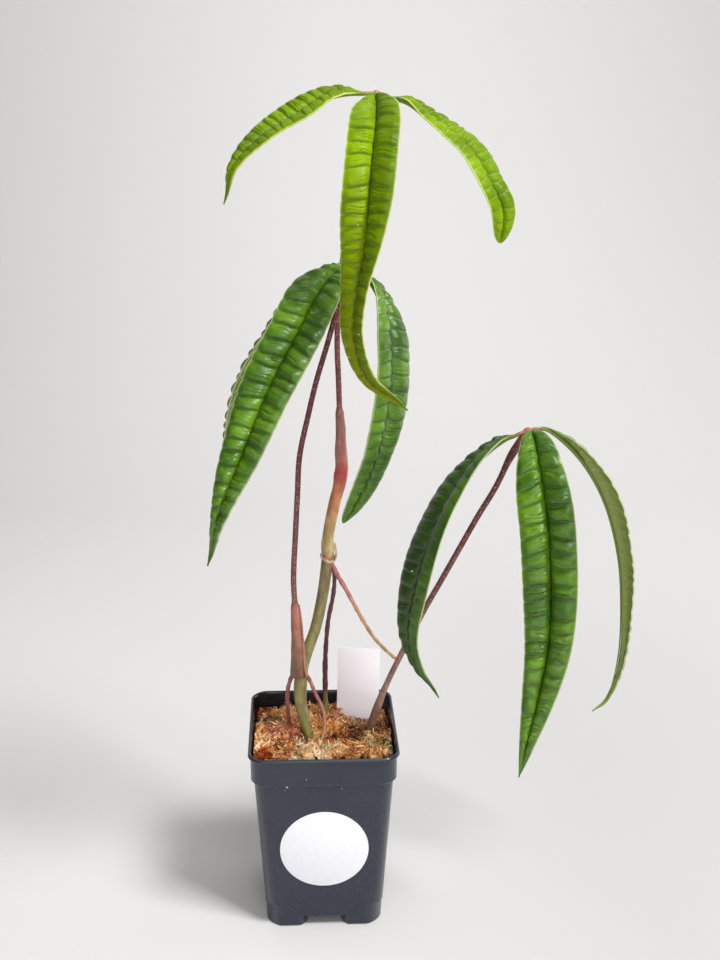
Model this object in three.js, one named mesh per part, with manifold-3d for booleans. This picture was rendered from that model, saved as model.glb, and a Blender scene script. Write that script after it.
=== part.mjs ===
// A potted anthurium cutucuense in millimetres, +Z up: a square nursery pot filled with moss, one stem,
// three leaf stalks, three leaves of three ribbed and drooping leaflets each, four aerial roots and a tag.
// Every point of the plant is given from the middle of the pot's base. The whole is then moved so that the
// part's origin lies on the table under the middle of its bounding box.
import * as THREE from "three";
import { mergeVertices } from "three/addons/utils/BufferGeometryUtils.js";
import Module from "manifold-3d";

const wasm = await Module();
wasm.setup();

// Place of the pot's base in the part's frame
const POT_X = -45;
const POT_Y = 14;

// Clearance between two pieces that touch on the real plant
const GAP = 0.3;

// Pot
const POT_HEIGHT = 86;
const LIP_HALF = 32;
const LIP_THICKNESS = 1.4;
const LIP_RADIUS = 6;
const WALL = 0.9;
const BASE_HALF = 25.1;
const BODY_TOP_HALF = 30.4;
const BODY_RADIUS = 7.2;
const BAND_HALF = 30.9;
const BAND_HEIGHT = 12.4;
const BAND_CHAMFER = 1.7;
const EDGE_ROUND = 0.3;
const FOOT_HEIGHT = 4.5;
const FOOT_STEP_HEIGHT = 11;
const FOOT_STEP = 0.4;
const FOOT_CHAMFER = 0.6;
const FLOOR_HEIGHT = 6;
const CHANNEL_WIDTH = 14.5;
const DRAIN_RADIUS = 3;
const DRAIN_SPACING = 15;

// Round sticker on the front of the pot
const STICKER_RADIUS = 19;
const STICKER_THICKNESS = 0.4;
const STICKER_HEIGHT = 40.4;

// Moss
const MOSS_FRONT = 83.5;
const MOSS_BACK = 77.5;
const MOSS_CROWN = 1.2;
const MOSS_ROUND = 0.8;
const MOSS_RINGS = 8;
const MOSS_CORNER_STEPS = 3;
const MOSS_SIDE_STEPS = 6;
const LARGE_LUMPS = { height: 1.1, alongX: 19, alongY: 22, turn: 10 };
const SMALL_LUMPS = { height: 0.8, alongX: 8, alongY: 9, turn: 38 };

// Plant tag: a plain plastic strip with a pointed foot, leaning back in the moss
const TAG_WIDTH = 19;
const TAG_LENGTH = 72;
const TAG_POINT = 14;
const TAG_THICKNESS = 0.7;
const TAG_CORNER = 1.5;
const TAG_FOOT_HALF = 1.5;
const TAG_TOP = [15.5, 26, 111];
const TAG_LEAN = 12;
const TAG_TURN = -8;

// Blades
const BLADE_THICKNESS = 0.8;
const KEEL = 0.5;
const STALK_RADIUS = 1;
const STALK_LENGTH = 4;
const VEIN_SLANT = 14;
const HALF_ARCH = 0.9;
const BULLA_HEIGHT = 0.75;
const KNOB_RADIUS = 2.1;
const LEAST_HALF_WIDTH = 0.9;
const OPEN_HALF_WIDTH = 4;
const FOOT_ROUNDNESS = 2.2;
const TAPER_SHARE = 0.62;
const BULLA_SLOPE = 0.6;

// Colours
const COLOURS = {
  pot: 0x3b3e48,
  paper: 0xf4f4f2,
  moss: 0xb98a4e,
  tag: 0xf1f2f2,
  stem: 0x8a8a52,
  petiole: 0x6e3a3c,
  newLeaf: 0x8fb83a,
  oldLeaf: 0x2f6a2c,
  root: 0xb97a5e,
  darkRoot: 0x55303a,
};

// Leaf knobs, where the leaflets of one leaf meet
const KNOB_TOP = [21, -5, 351];
const KNOB_MIDDLE = [12, -11, 287];
const KNOB_RIGHT = [81, -20, 224];

// Leaflets: the line of the midrib from the knob to the tip, the plan direction that the leaflet sets out
// in, the turn of the blade about its midrib at equal steps, greatest half width, fold, count of bullae, the
// share of the length over which the blade widens, and a power that is lower on a blunter tip
const LEAFLETS = [
  {
    name: "leaflet_top_middle",
    colour: "newLeaf",
    spine: [KNOB_TOP, [20, -22, 348], [19, -37, 342], [17, -46, 328], [16, -49, 315], [15, -51, 300],
      [13, -52, 285], [12, -51, 269], [17, -49, 253], [31, -47, 240]],
    heading: -90,
    rolls: [-10, -8, -50, -15],
    halfWidth: 10,
    fold: 22,
    bullae: 30,
    foot: 0.14,
    bluntness: 0.9,
  },
  {
    name: "leaflet_top_left",
    colour: "newLeaf",
    spine: [KNOB_TOP, [12, -9, 352], [2, -13, 350], [-8, -17, 344], [-21, -21, 336], [-31, -25, 326],
      [-36, -27, 313]],
    heading: 210,
    rolls: [15, 1, -2, -14],
    halfWidth: 8.5,
    fold: 10,
    bullae: 16,
    foot: 0.16,
    bluntness: 0.9,
  },
  {
    name: "leaflet_top_right",
    colour: "newLeaf",
    spine: [KNOB_TOP, [32, -9, 349], [40, -13, 343], [48, -17, 337], [56, -20, 330], [62, -23, 320],
      [67, -24, 310], [67, -22, 298]],
    heading: -40,
    rolls: [16, 1, -5, -45],
    halfWidth: 8.5,
    fold: 10,
    bullae: 17,
    foot: 0.18,
    bluntness: 0.5,
  },
  {
    name: "leaflet_mid_front",
    colour: "oldLeaf",
    spine: [KNOB_MIDDLE, [6, -22, 287], [-2, -33, 280], [-10, -40, 266], [-20, -46, 248], [-28, -51, 229],
      [-36, -54, 209], [-44, -56, 183]],
    heading: 245,
    rolls: [4, 8, 0, -28],
    halfWidth: 11,
    fold: 18,
    bullae: 24,
    foot: 0.16,
    bluntness: 0.9,
  },
  {
    name: "leaflet_mid_right",
    colour: "oldLeaf",
    spine: [KNOB_MIDDLE, [19, -18, 283], [23, -24, 275], [25, -29, 263], [25, -32, 246], [22, -32, 226],
      [16, -29, 206], [8, -25, 188]],
    heading: -50,
    rolls: [35, 10, 0, -25],
    halfWidth: 10,
    fold: 12,
    bullae: 20,
    foot: 0.2,
    bluntness: 0.6,
  },
  {
    name: "leaflet_mid_back",
    colour: "oldLeaf",
    spine: [KNOB_MIDDLE, [4, -5, 285], [-8, 2, 274], [-19, 7, 257], [-30, 10, 238], [-36, 12, 218],
      [-38, 12, 201], [-37, 11, 185]],
    heading: 170,
    rolls: [0, 0, 0, 0],
    halfWidth: 10.5,
    fold: 18,
    bullae: 22,
    foot: 0.18,
    bluntness: 0.9,
  },
  {
    name: "leaflet_right_middle",
    colour: "oldLeaf",
    spine: [KNOB_RIGHT, [81, -34, 225], [82, -45, 217], [85, -51, 196], [87, -53, 170], [87, -54, 147],
      [84, -54, 124], [78, -52, 88]],
    heading: -110,
    rolls: [-20, -6, -7, -10],
    halfWidth: 11.2,
    fold: 16,
    bullae: 25,
    foot: 0.26,
    bluntness: 0.9,
  },
  {
    name: "leaflet_right_left",
    colour: "oldLeaf",
    spine: [KNOB_RIGHT, [70, -25, 222], [57, -31, 212], [46, -36, 195], [38, -40, 174], [34, -41, 150],
      [37, -41, 135], [46, -40, 118]],
    heading: 205,
    rolls: [-20, -10, 4, 10],
    halfWidth: 10.8,
    fold: 10,
    bullae: 23,
    foot: 0.22,
    bluntness: 0.9,
  },
  {
    name: "leaflet_right_right",
    colour: "oldLeaf",
    spine: [KNOB_RIGHT, [90, -17, 224], [105, -12, 210], [117, -8, 190], [125, -5, 165], [128, -4, 142],
      [128, -5, 119], [124, -7, 100], [117, -9, 94]],
    heading: 0,
    rolls: [6, -4, -20, -20],
    halfWidth: 11.4,
    fold: 24,
    bullae: 26,
    foot: 0.2,
    bluntness: 0.9,
  },
];

// Stem: enters the moss near the middle of the pot and carries three nodes
const STEM_PATH = [[-3, 0, 62], [-4.5, -1, 79], [-7.5, -1, 86], [-9.5, -1, 97], [-9.5, -1, 106], [-8, 0, 115],
  [-5.5, 1, 123], [-2.5, 2, 132], [0.5, 3, 147], [2.5, 4, 163], [2.5, 4, 170], [3.5, 4, 177], [5.5, 4, 187],
  [7.4, 4, 194.5], [8, 4, 199]];
const STEM_RADII = [[0, 2.3], [0.2, 2.5], [0.29, 2.9], [0.35, 2.4], [0.6, 2.4], [0.72, 2.5], [0.75, 3], [0.79, 2.4],
  [0.94, 2.5], [1, 2.9]];

// Leaf stalks: a sheath at the foot, a long even stalk and a swelling before the knob
const PETIOLES = [
  {
    name: "petiole_top",
    path: [[8.1, 4, 199.4], [8.4, 4, 203], [8, 4, 210], [8, 4, 218], [7.5, 3.5, 226], [7, 3, 241], [6.5, 2, 254], [7, 1, 272],
      [9.5, -1, 296], [13, -2.5, 319], [17, -4, 338], KNOB_TOP],
    radii: [[0, 2.9], [0.05, 2.6], [0.12, 2.1], [0.17, 1.8], [0.195, 1.15], [0.9, 1.15], [1, 1.5]],
  },
  {
    name: "petiole_middle",
    path: [[-11, -3.5, 102], [-10.5, -4, 111], [-10.5, -4, 123], [-11, -4, 132], [-11.5, -4, 143], [-12, -4, 157],
      [-11, -4, 176], [-10, -5, 194], [-9, -5.5, 210], [-5.5, -6.5, 227], [-2, -7.5, 242], [2, -9, 256],
      [6.5, -10, 272], KNOB_MIDDLE],
    radii: [[0, 3.4], [0.06, 3.4], [0.13, 2.8], [0.2, 2], [0.23, 1.15], [0.9, 1.1], [1, 1.5]],
  },
  {
    name: "petiole_right",
    path: [[16, 4, 62], [18.5, 2, 72], [21, 0, 83], [24, -2, 95], [29.5, -4, 111], [41.5, -8, 140], [49.5, -10, 157],
      [56.5, -12, 172], [63, -14, 186], [70, -16, 200], [75, -18, 213], KNOB_RIGHT],
    radii: [[0, 2.4], [0.12, 2.6], [0.2, 2], [0.235, 1.2], [0.88, 1.2], [0.95, 1.7], [1, 1.8]],
  },
];

// Aerial roots, each from inside its node on the stem, which is then cut back to the stem's surface
const ROOTS = [
  {
    name: "root_long",
    colour: "root",
    path: [[2.5, 4, 163], [4, 3.5, 160], [6.5, 2, 155], [10, 1, 149], [14, 1, 141], [18.5, 2, 132], [23, 4, 124],
      [28.5, 6, 117], [33, 8, 112]],
    radii: [[0, 1], [0.8, 0.85], [1, 0.5]],
  },
  {
    name: "root_dark",
    colour: "darkRoot",
    path: [[2.5, 4, 163], [4, 6.5, 159], [5.5, 9, 152], [5, 11, 142], [3, 13, 130], [2, 14, 119], [1.5, 15, 107],
      [1.5, 15, 97], [1.5, 15, 86], [1.5, 15, 74]],
    radii: [[0, 0.9], [0.5, 1], [0.7, 1.25], [1, 1.1]],
  },
  {
    name: "root_left",
    colour: "root",
    path: [[-9.5, -1, 105], [-13, -0.5, 106.5], [-15, -2, 103], [-15.5, -1, 97], [-15, 2, 90], [-14.5, 5, 83],
      [-13.5, 7, 72]],
    radii: [[0, 0.9], [1, 0.85]],
  },
  {
    name: "root_right",
    colour: "root",
    path: [[-9.5, -1, 100], [-7, -4, 101], [-4, -8, 102], [-1.5, -9.5, 98], [0, -11, 92], [-0.5, -12, 85],
      [-2, -12, 79], [-3, -11, 69]],
    radii: [[0, 1], [1, 0.9]],
  },
];

const vector = (p) => new THREE.Vector3(...p);
const radians = (degrees) => THREE.MathUtils.degToRad(degrees);
const UP = new THREE.Vector3(0, 0, 1);

// Value at share t of a list of [share, value] pairs
function along(pairs, t) {
  let i = 0;
  while (i < pairs.length - 2 && t > pairs[i + 1][0]) i += 1;
  const [t0, v0] = pairs[i];
  const [t1, v1] = pairs[i + 1];
  return THREE.MathUtils.lerp(v0, v1, THREE.MathUtils.smoothstep(t, t0, t1));
}

// Smooth curve through points, measured by its arc length
function curveThrough(points) {
  const curve = new THREE.CatmullRomCurve3(points.map(vector), false, "catmullrom", 0.5);
  curve.arcLengthDivisions = 300;
  return curve;
}

// Closed surface over a row of rings with equal counts of points, with a fan of triangles over each end.
// turnedStrip says which strips between neighbouring points are split along their other diagonal.
function loft(rings, turnedStrip = () => false) {
  const count = rings[0].length;
  const positions = [];
  const indices = [];
  for (const ring of rings) for (const p of ring) positions.push(p.x, p.y, p.z);
  for (let i = 0; i < rings.length - 1; i += 1) {
    for (let j = 0; j < count; j += 1) {
      const a = i * count + j;
      const b = i * count + ((j + 1) % count);
      const c = a + count;
      const d = b + count;
      if (turnedStrip(j)) indices.push(a, b, c, b, d, c);
      else indices.push(a, b, d, a, d, c);
    }
  }
  for (const [ring, first, out] of [[rings[0], 0, false], [rings.at(-1), (rings.length - 1) * count, true]]) {
    const middle = ring.reduce((sum, p) => sum.add(p), new THREE.Vector3()).divideScalar(count);
    const centre = positions.length / 3;
    positions.push(middle.x, middle.y, middle.z);
    for (let j = 0; j < count; j += 1) {
      const a = first + j;
      const b = first + ((j + 1) % count);
      if (out) indices.push(a, b, centre);
      else indices.push(b, a, centre);
    }
  }
  const geometry = new THREE.BufferGeometry();
  geometry.setAttribute("position", new THREE.Float32BufferAttribute(positions, 3));
  geometry.setIndex(indices);
  return geometry;
}

// Closed geometry as a solid, turned right side out
function solid(geometry) {
  const bare = geometry.clone();
  bare.deleteAttribute("normal");
  bare.deleteAttribute("uv");
  const merged = mergeVertices(bare.index ? bare.toNonIndexed() : bare, 1e-4);
  const triVerts = new Uint32Array(merged.index.array);
  const vertProperties = merged.attributes.position.array;
  const made = new wasm.Manifold(new wasm.Mesh({ numProp: 3, vertProperties, triVerts }));
  if (made.volume() > 0) return made;
  return new wasm.Manifold(new wasm.Mesh({ numProp: 3, vertProperties, triVerts: triVerts.reverse() }));
}

// Largest body of a solid as a geometry
function geometryOf(shape) {
  const bodies = shape.decompose();
  const largest = bodies.reduce((best, body) => (body.volume() > best.volume() ? body : best));
  const mesh = largest.getMesh();
  const geometry = new THREE.BufferGeometry();
  geometry.setAttribute("position", new THREE.BufferAttribute(new Float32Array(mesh.vertProperties), 3));
  geometry.setIndex(new THREE.BufferAttribute(new Uint32Array(mesh.triVerts), 1));
  geometry.computeVertexNormals();
  return geometry;
}

function placed(geometry, position, rotation = [0, 0, 0]) {
  const matrix = new THREE.Matrix4().makeRotationFromEuler(new THREE.Euler(...rotation));
  return geometry.applyMatrix4(matrix.setPosition(...position));
}

// Round tube along a path, its radius given by [share, radius] pairs and grown by extra
function tube(path, radii, { sides = 8, steps = 26, extra = 0 } = {}) {
  const curve = curveThrough(path);
  const frames = curve.computeFrenetFrames(steps, false);
  const rings = [];
  for (let i = 0; i <= steps; i += 1) {
    const centre = curve.getPointAt(i / steps);
    const radius = along(radii, i / steps) + extra;
    const ring = [];
    for (let j = 0; j < sides; j += 1) {
      const angle = (2 * Math.PI * j) / sides;
      ring.push(
        centre
          .clone()
          .addScaledVector(frames.normals[i], radius * Math.cos(angle))
          .addScaledVector(frames.binormals[i], radius * Math.sin(angle)),
      );
    }
    rings.push(ring);
  }
  return solid(loft(rings));
}

// Ring of a square with round corners, at height z
function roundedSquare(half, radius, z, cornerSteps = 4, sideSteps = 1) {
  const ring = [];
  for (let corner = 0; corner < 4; corner += 1) {
    const turn = (corner * Math.PI) / 2;
    const put = (x, y) => ring.push(new THREE.Vector3(x, y, z).applyAxisAngle(UP, turn));
    for (let i = 0; i <= cornerSteps; i += 1) {
      const angle = (i / cornerSteps) * (Math.PI / 2);
      put(half - radius + radius * Math.cos(angle), half - radius + radius * Math.sin(angle));
    }
    for (let i = 1; i < sideSteps; i += 1) {
      const reach = half - radius;
      put(THREE.MathUtils.lerp(reach, -reach, i / sideSteps), half);
    }
  }
  return ring;
}

// Half width of the tapered body at height z, outside
const bodyHalf = (z) => THREE.MathUtils.lerp(BASE_HALF, BODY_TOP_HALF, z / POT_HEIGHT);
const bandBottom = POT_HEIGHT - BAND_HEIGHT;

// Half width of the inner wall at height z
function innerHalf(z) {
  return z > bandBottom ? BAND_HALF - WALL : bodyHalf(z) - WALL;
}

function potSolid() {
  const lipFoot = POT_HEIGHT - LIP_THICKNESS;
  const innerRadius = BODY_RADIUS - WALL;
  const footFace = (z) => bodyHalf(z) - FOOT_STEP;
  const aboveStep = FOOT_STEP_HEIGHT + FOOT_CHAMFER;
  const belowBand = bandBottom - BAND_CHAMFER;
  const rings = [
    roundedSquare(footFace(0) - FOOT_CHAMFER, BODY_RADIUS - FOOT_CHAMFER, 0),
    roundedSquare(footFace(FOOT_CHAMFER), BODY_RADIUS, FOOT_CHAMFER),
    roundedSquare(footFace(FOOT_STEP_HEIGHT), BODY_RADIUS, FOOT_STEP_HEIGHT),
    roundedSquare(bodyHalf(aboveStep), BODY_RADIUS, aboveStep),
    roundedSquare(bodyHalf(belowBand), BODY_RADIUS, belowBand),
    roundedSquare(BAND_HALF, BODY_RADIUS, bandBottom),
    roundedSquare(BAND_HALF, LIP_RADIUS, lipFoot - EDGE_ROUND),
    roundedSquare(LIP_HALF, LIP_RADIUS, lipFoot),
    roundedSquare(LIP_HALF, LIP_RADIUS, POT_HEIGHT - EDGE_ROUND),
    roundedSquare(LIP_HALF - EDGE_ROUND, LIP_RADIUS, POT_HEIGHT),
    roundedSquare(innerHalf(POT_HEIGHT), LIP_RADIUS - WALL, POT_HEIGHT),
    roundedSquare(innerHalf(POT_HEIGHT), innerRadius, bandBottom + EDGE_ROUND),
    roundedSquare(innerHalf(belowBand), innerRadius, belowBand),
    roundedSquare(innerHalf(FLOOR_HEIGHT), innerRadius, FLOOR_HEIGHT),
  ];
  let pot = solid(loft(rings));
  const reach = 2 * LIP_HALF;
  for (const size of [[reach, CHANNEL_WIDTH], [CHANNEL_WIDTH, reach]]) {
    const channel = new THREE.BoxGeometry(size[0], size[1], 2 * FOOT_HEIGHT);
    pot = pot.subtract(solid(channel));
  }
  for (const [x, y] of [[0, 0], [1, 0], [-1, 0], [0, 1], [0, -1]]) {
    const drain = new THREE.CylinderGeometry(DRAIN_RADIUS, DRAIN_RADIUS, 4 * FLOOR_HEIGHT, 16);
    const hole = placed(drain, [x * DRAIN_SPACING, y * DRAIN_SPACING, 0], [Math.PI / 2, 0, 0]);
    pot = pot.subtract(solid(hole));
  }
  return pot;
}

// Sticker on the leaning front wall, its back a clearance away from the wall
function stickerSolid() {
  const lean = Math.atan2(BODY_TOP_HALF - BASE_HALF, POT_HEIGHT);
  const disc = new THREE.CylinderGeometry(STICKER_RADIUS, STICKER_RADIUS, STICKER_THICKNESS, 40);
  const out = GAP + STICKER_THICKNESS / 2;
  const place = [
    0,
    -bodyHalf(STICKER_HEIGHT) - out * Math.cos(lean),
    STICKER_HEIGHT - out * Math.sin(lean),
  ];
  return solid(placed(disc, place, [lean, 0, 0]));
}

// Waves of one size over the moss, crossing at right angles
function lumpHeight(lumps, x, y) {
  const turn = radians(lumps.turn);
  const u = x * Math.cos(turn) - y * Math.sin(turn);
  const v = x * Math.sin(turn) + y * Math.cos(turn);
  return lumps.height * Math.sin((2 * Math.PI * u) / lumps.alongX) * Math.cos((2 * Math.PI * v) / lumps.alongY);
}

// Height of the moss at a point of the pot: it rises to the front, with a low crown and lumps of two sizes
function mossHeight(x, y) {
  const reach = innerHalf(POT_HEIGHT);
  const level = THREE.MathUtils.lerp(MOSS_FRONT, MOSS_BACK, (y + reach) / (2 * reach));
  const crown = MOSS_CROWN * (1 - (Math.hypot(x, y) / reach) ** 2);
  return level + crown + lumpHeight(LARGE_LUMPS, x, y) + lumpHeight(SMALL_LUMPS, x, y);
}

function mossSolid(holes) {
  const ringAt = (half, radius, z) =>
    roundedSquare(half - GAP - EDGE_ROUND / 3, radius, z, MOSS_CORNER_STEPS, MOSS_SIDE_STEPS);
  const wallRadius = BODY_RADIUS - WALL;
  const low = FLOOR_HEIGHT + GAP;
  const ledge = bandBottom - BAND_CHAMFER;
  const top = innerHalf(POT_HEIGHT);
  const rings = [
    ringAt(innerHalf(low), wallRadius, low),
    ringAt(innerHalf(ledge), wallRadius, ledge),
    ringAt(top, wallRadius, bandBottom + BAND_CHAMFER / 2),
  ];
  for (let i = 0; i < MOSS_RINGS; i += 1) {
    const share = 1 - i / MOSS_RINGS;
    const ring = ringAt(top * share, (LIP_RADIUS - WALL) * share, 0);
    for (const p of ring) p.z = mossHeight(p.x, p.y) - (i === 0 ? MOSS_ROUND : 0);
    rings.push(ring);
  }
  let moss = solid(loft(rings));
  for (const hole of holes) moss = moss.subtract(hole);
  return moss;
}

// Tag outline grown by extra on every side: square top with small round corners and a pointed foot
function tagSolid(extra = 0) {
  const half = TAG_WIDTH / 2 + extra;
  const outline = new THREE.Shape();
  outline.moveTo(-half, -TAG_CORNER);
  outline.quadraticCurveTo(-half, extra, -half + TAG_CORNER, extra);
  outline.lineTo(half - TAG_CORNER, extra);
  outline.quadraticCurveTo(half, extra, half, -TAG_CORNER);
  outline.lineTo(half, TAG_POINT - TAG_LENGTH);
  outline.lineTo(TAG_FOOT_HALF, -TAG_LENGTH - extra);
  outline.lineTo(-TAG_FOOT_HALF, -TAG_LENGTH - extra);
  outline.lineTo(-half, TAG_POINT - TAG_LENGTH);
  const depth = TAG_THICKNESS + 2 * extra;
  const strip = new THREE.ExtrudeGeometry(outline, { depth, bevelEnabled: false, curveSegments: 4 });
  strip.translate(0, 0, -depth / 2);
  strip.applyMatrix4(new THREE.Matrix4().makeRotationX(radians(90 - TAG_LEAN)));
  strip.applyMatrix4(new THREE.Matrix4().makeRotationZ(radians(TAG_TURN)));
  return solid(strip.translate(...TAG_TOP));
}

// Half width of a blade at share s of its length, as a share of the greatest
function bladeProfile(s, leaflet) {
  const foot = 1 - (1 - THREE.MathUtils.clamp(s / leaflet.foot, 0, 1)) ** FOOT_ROUNDNESS;
  const taper = THREE.MathUtils.clamp((1 - s) / TAPER_SHARE, 0, 1);
  const tip = Math.sin((taper * Math.PI) / 2) ** leaflet.bluntness;
  return foot * tip;
}

// One leaflet: its own short stalk, then a blade folded along the midrib, each half arched and raised in
// bullae between the side veins. The upper and lower faces are split into triangles alike.
function leafletGeometry(leaflet) {
  const curve = curveThrough(leaflet.spine);
  const length = curve.getLength();
  const heading = radians(leaflet.heading);
  const sideways = new THREE.Vector3(Math.cos(heading), Math.sin(heading), 0).cross(UP);
  const rolls = leaflet.rolls.map((roll, i) => [i / (leaflet.rolls.length - 1), roll]);
  const start = (KNOB_RADIUS + GAP + 0.1) / length;
  const stalk = STALK_LENGTH / length;

  const frameAt = (share) => {
    const t = THREE.MathUtils.clamp(share, 0, 1);
    const tangent = curve.getTangentAt(t);
    const side = sideways.clone().addScaledVector(tangent, -sideways.dot(tangent)).normalize();
    side.applyAxisAngle(tangent, -radians(along(rolls, t)));
    return { place: curve.getPointAt(t), side, normal: side.clone().cross(tangent) };
  };

  // Point of the blade: across runs from -1 to 1, depth is 0 on the upper face and 1 on the lower one
  const pointAt = (share, across, depth, crest) => {
    const s = THREE.MathUtils.clamp((share - stalk) / (1 - stalk), 0, 1);
    const halfWidth = Math.max(leaflet.halfWidth * bladeProfile(s, leaflet), LEAST_HALF_WIDTH);
    const opened = THREE.MathUtils.smoothstep(halfWidth, LEAST_HALF_WIDTH, OPEN_HALF_WIDTH);
    const out = Math.abs(across) * halfWidth;
    const slant = (out * Math.tan(radians(VEIN_SLANT)) * opened) / length;
    const { place, side, normal } = frameAt(Math.min(share + slant * (1 - s), 1));
    const fold = radians(leaflet.fold) * opened;
    const bulge = Math.sin(Math.PI * Math.abs(across)) * HALF_ARCH;
    const onMidrib = across === 0;
    const bulla = crest && !onMidrib ? BULLA_HEIGHT * (1 - BULLA_SLOPE * (2 * Math.abs(across) - 1) ** 2) : 0;
    const keel = onMidrib ? KEEL : 0;
    const stalkThickness = 2 * STALK_RADIUS * Math.sqrt(1 - (0.75 * across) ** 2);
    const thickness = THREE.MathUtils.lerp(stalkThickness, BLADE_THICKNESS + keel, opened);
    const middle = THREE.MathUtils.lerp(stalkThickness / 2, 0, opened);
    const rise = (bulge + bulla) * opened + middle - depth * thickness;
    const facing = normal.clone();
    facing.addScaledVector(side, -Math.sign(across) * Math.tan(fold)).normalize();
    return place
      .addScaledVector(side, Math.sign(across) * out * Math.cos(fold))
      .addScaledVector(normal, out * Math.sin(fold))
      .addScaledVector(facing, rise);
  };

  const rows = 2 * leaflet.bullae;
  const columns = [-1, -0.5, 0, 0.5, 1];
  const rings = [];
  for (let i = 0; i <= rows + 2; i += 1) {
    const inStalk = i < 2;
    const share = inStalk
      ? THREE.MathUtils.lerp(start, stalk, i / 2)
      : THREE.MathUtils.lerp(stalk, 1, (i - 2) / rows);
    const crest = i > 2 && i % 2 === 1;
    const upper = columns.map((across) => pointAt(share, across, 0, crest));
    const lower = columns.map((across) => pointAt(share, across, 1, crest));
    rings.push([...upper, ...lower.reverse()]);
  }
  const lowerFace = (j) => j >= columns.length && j < 2 * columns.length - 1;
  return geometryOf(solid(loft(rings, lowerFace)));
}

function material(colour, roughness = 0.6) {
  return new THREE.MeshStandardMaterial({ color: COLOURS[colour], roughness, metalness: 0 });
}

const plant = new THREE.Group();
plant.position.set(POT_X, POT_Y, 0);

function addPiece(name, geometry, colour, roughness) {
  const mesh = new THREE.Mesh(geometry, material(colour, roughness));
  mesh.name = name;
  plant.add(mesh);
}

const stem = tube(STEM_PATH, STEM_RADII, { sides: 10, steps: 40 });
const stemClearance = tube(STEM_PATH, STEM_RADII, { sides: 10, steps: 40, extra: GAP });
addPiece("stem", geometryOf(stem), "stem");

const inMoss = [stemClearance, tagSolid(GAP)];
const nearRoots = [stemClearance];

for (const petiole of PETIOLES) {
  const knob = new THREE.SphereGeometry(KNOB_RADIUS, 12, 8).translate(...petiole.path.at(-1));
  const clearance = tube(petiole.path, petiole.radii, { steps: 30, extra: GAP });
  let shape = tube(petiole.path, petiole.radii, { steps: 30 }).add(solid(knob));
  if (petiole.name === "petiole_middle") {
    shape = shape.subtract(stemClearance);
    nearRoots.push(clearance);
  }
  if (petiole.name === "petiole_right") inMoss.push(clearance);
  addPiece(petiole.name, geometryOf(shape), "petiole");
}

for (const root of ROOTS) {
  const settings = { sides: 6, steps: 20 };
  const shape = nearRoots.reduce((left, near) => left.subtract(near), tube(root.path, root.radii, settings));
  if (root.name !== "root_long") inMoss.push(tube(root.path, root.radii, { ...settings, extra: GAP }));
  addPiece(root.name, geometryOf(shape), root.colour);
}

for (const leaflet of LEAFLETS) addPiece(leaflet.name, leafletGeometry(leaflet), leaflet.colour, 0.4);

addPiece("pot", geometryOf(potSolid()), "pot", 0.5);
addPiece("pot_sticker", geometryOf(stickerSolid()), "paper", 0.8);
addPiece("moss", geometryOf(mossSolid(inMoss)), "moss", 1);
addPiece("plant_label", geometryOf(tagSolid()), "tag", 0.5);

export default plant;
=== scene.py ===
# %% [markdown]
# # A potted anthurium cutucuense, dressed leaf by leaf
# A measured model of a young climbing anthurium in a square nursery pot already gives every size and place.
# This lesson gives each piece the finer surface that the eye expects: blades puffed up between their veins,
# speckled stalks, loose moss and moulded plastic. Read it from the top: later cells use earlier helpers.

# %% Load the measured model
import math
import bpy
import numpy as np
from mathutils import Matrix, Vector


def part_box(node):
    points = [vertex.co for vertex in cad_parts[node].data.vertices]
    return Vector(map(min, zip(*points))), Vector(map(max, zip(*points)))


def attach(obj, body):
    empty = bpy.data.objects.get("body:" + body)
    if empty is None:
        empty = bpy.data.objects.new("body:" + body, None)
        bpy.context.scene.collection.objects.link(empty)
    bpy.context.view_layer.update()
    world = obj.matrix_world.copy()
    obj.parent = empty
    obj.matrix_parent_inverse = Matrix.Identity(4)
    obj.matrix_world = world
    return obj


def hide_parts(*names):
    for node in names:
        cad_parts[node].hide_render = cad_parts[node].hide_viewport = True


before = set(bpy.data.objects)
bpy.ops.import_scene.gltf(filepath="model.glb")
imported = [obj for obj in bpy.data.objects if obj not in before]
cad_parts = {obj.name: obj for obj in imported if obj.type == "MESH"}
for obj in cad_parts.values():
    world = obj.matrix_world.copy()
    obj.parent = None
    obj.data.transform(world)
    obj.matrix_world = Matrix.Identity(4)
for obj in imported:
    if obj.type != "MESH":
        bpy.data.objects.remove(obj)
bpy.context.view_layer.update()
print("measured nodes:", len(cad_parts))

# %% [markdown]
# ## One set of units
# A small plant is measured most easily in millimetres from the middle of its pot, with the sticker towards
# -Y. Blender works in metres, so one helper turns such points into the frame's own. It reads the pot's place
# from its box, so every later piece is right wherever the pot stands.

# %% Millimetres from the middle of the pot
MM = 0.001
pot_low, pot_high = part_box("pot")
POT_MIDDLE = np.array([(pot_low[0] + pot_high[0]) / 2, (pot_low[1] + pot_high[1]) / 2, 0.0])


def metres(points):
    """Pot millimetres as metres of the frame."""
    return np.asarray(points, dtype=float) * MM + POT_MIDDLE


print("middle of the pot:", POT_MIDDLE.round(4))

# %% [markdown]
# ## The camera
# The plant is seen from in front and a little above, as a grower holds it at arm's length. A moderate lens
# from half a metre away keeps the pot's sides nearly straight but still shows into its mouth.

# %% Add the camera
CAMERA_PLACE = (-9.76, -521.3, 368.7)
CAMERA_TURN = (71.874, -0.29, -2.714)
CAMERA_LENS = 49.91
CAMERA_SENSOR = 36

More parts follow.
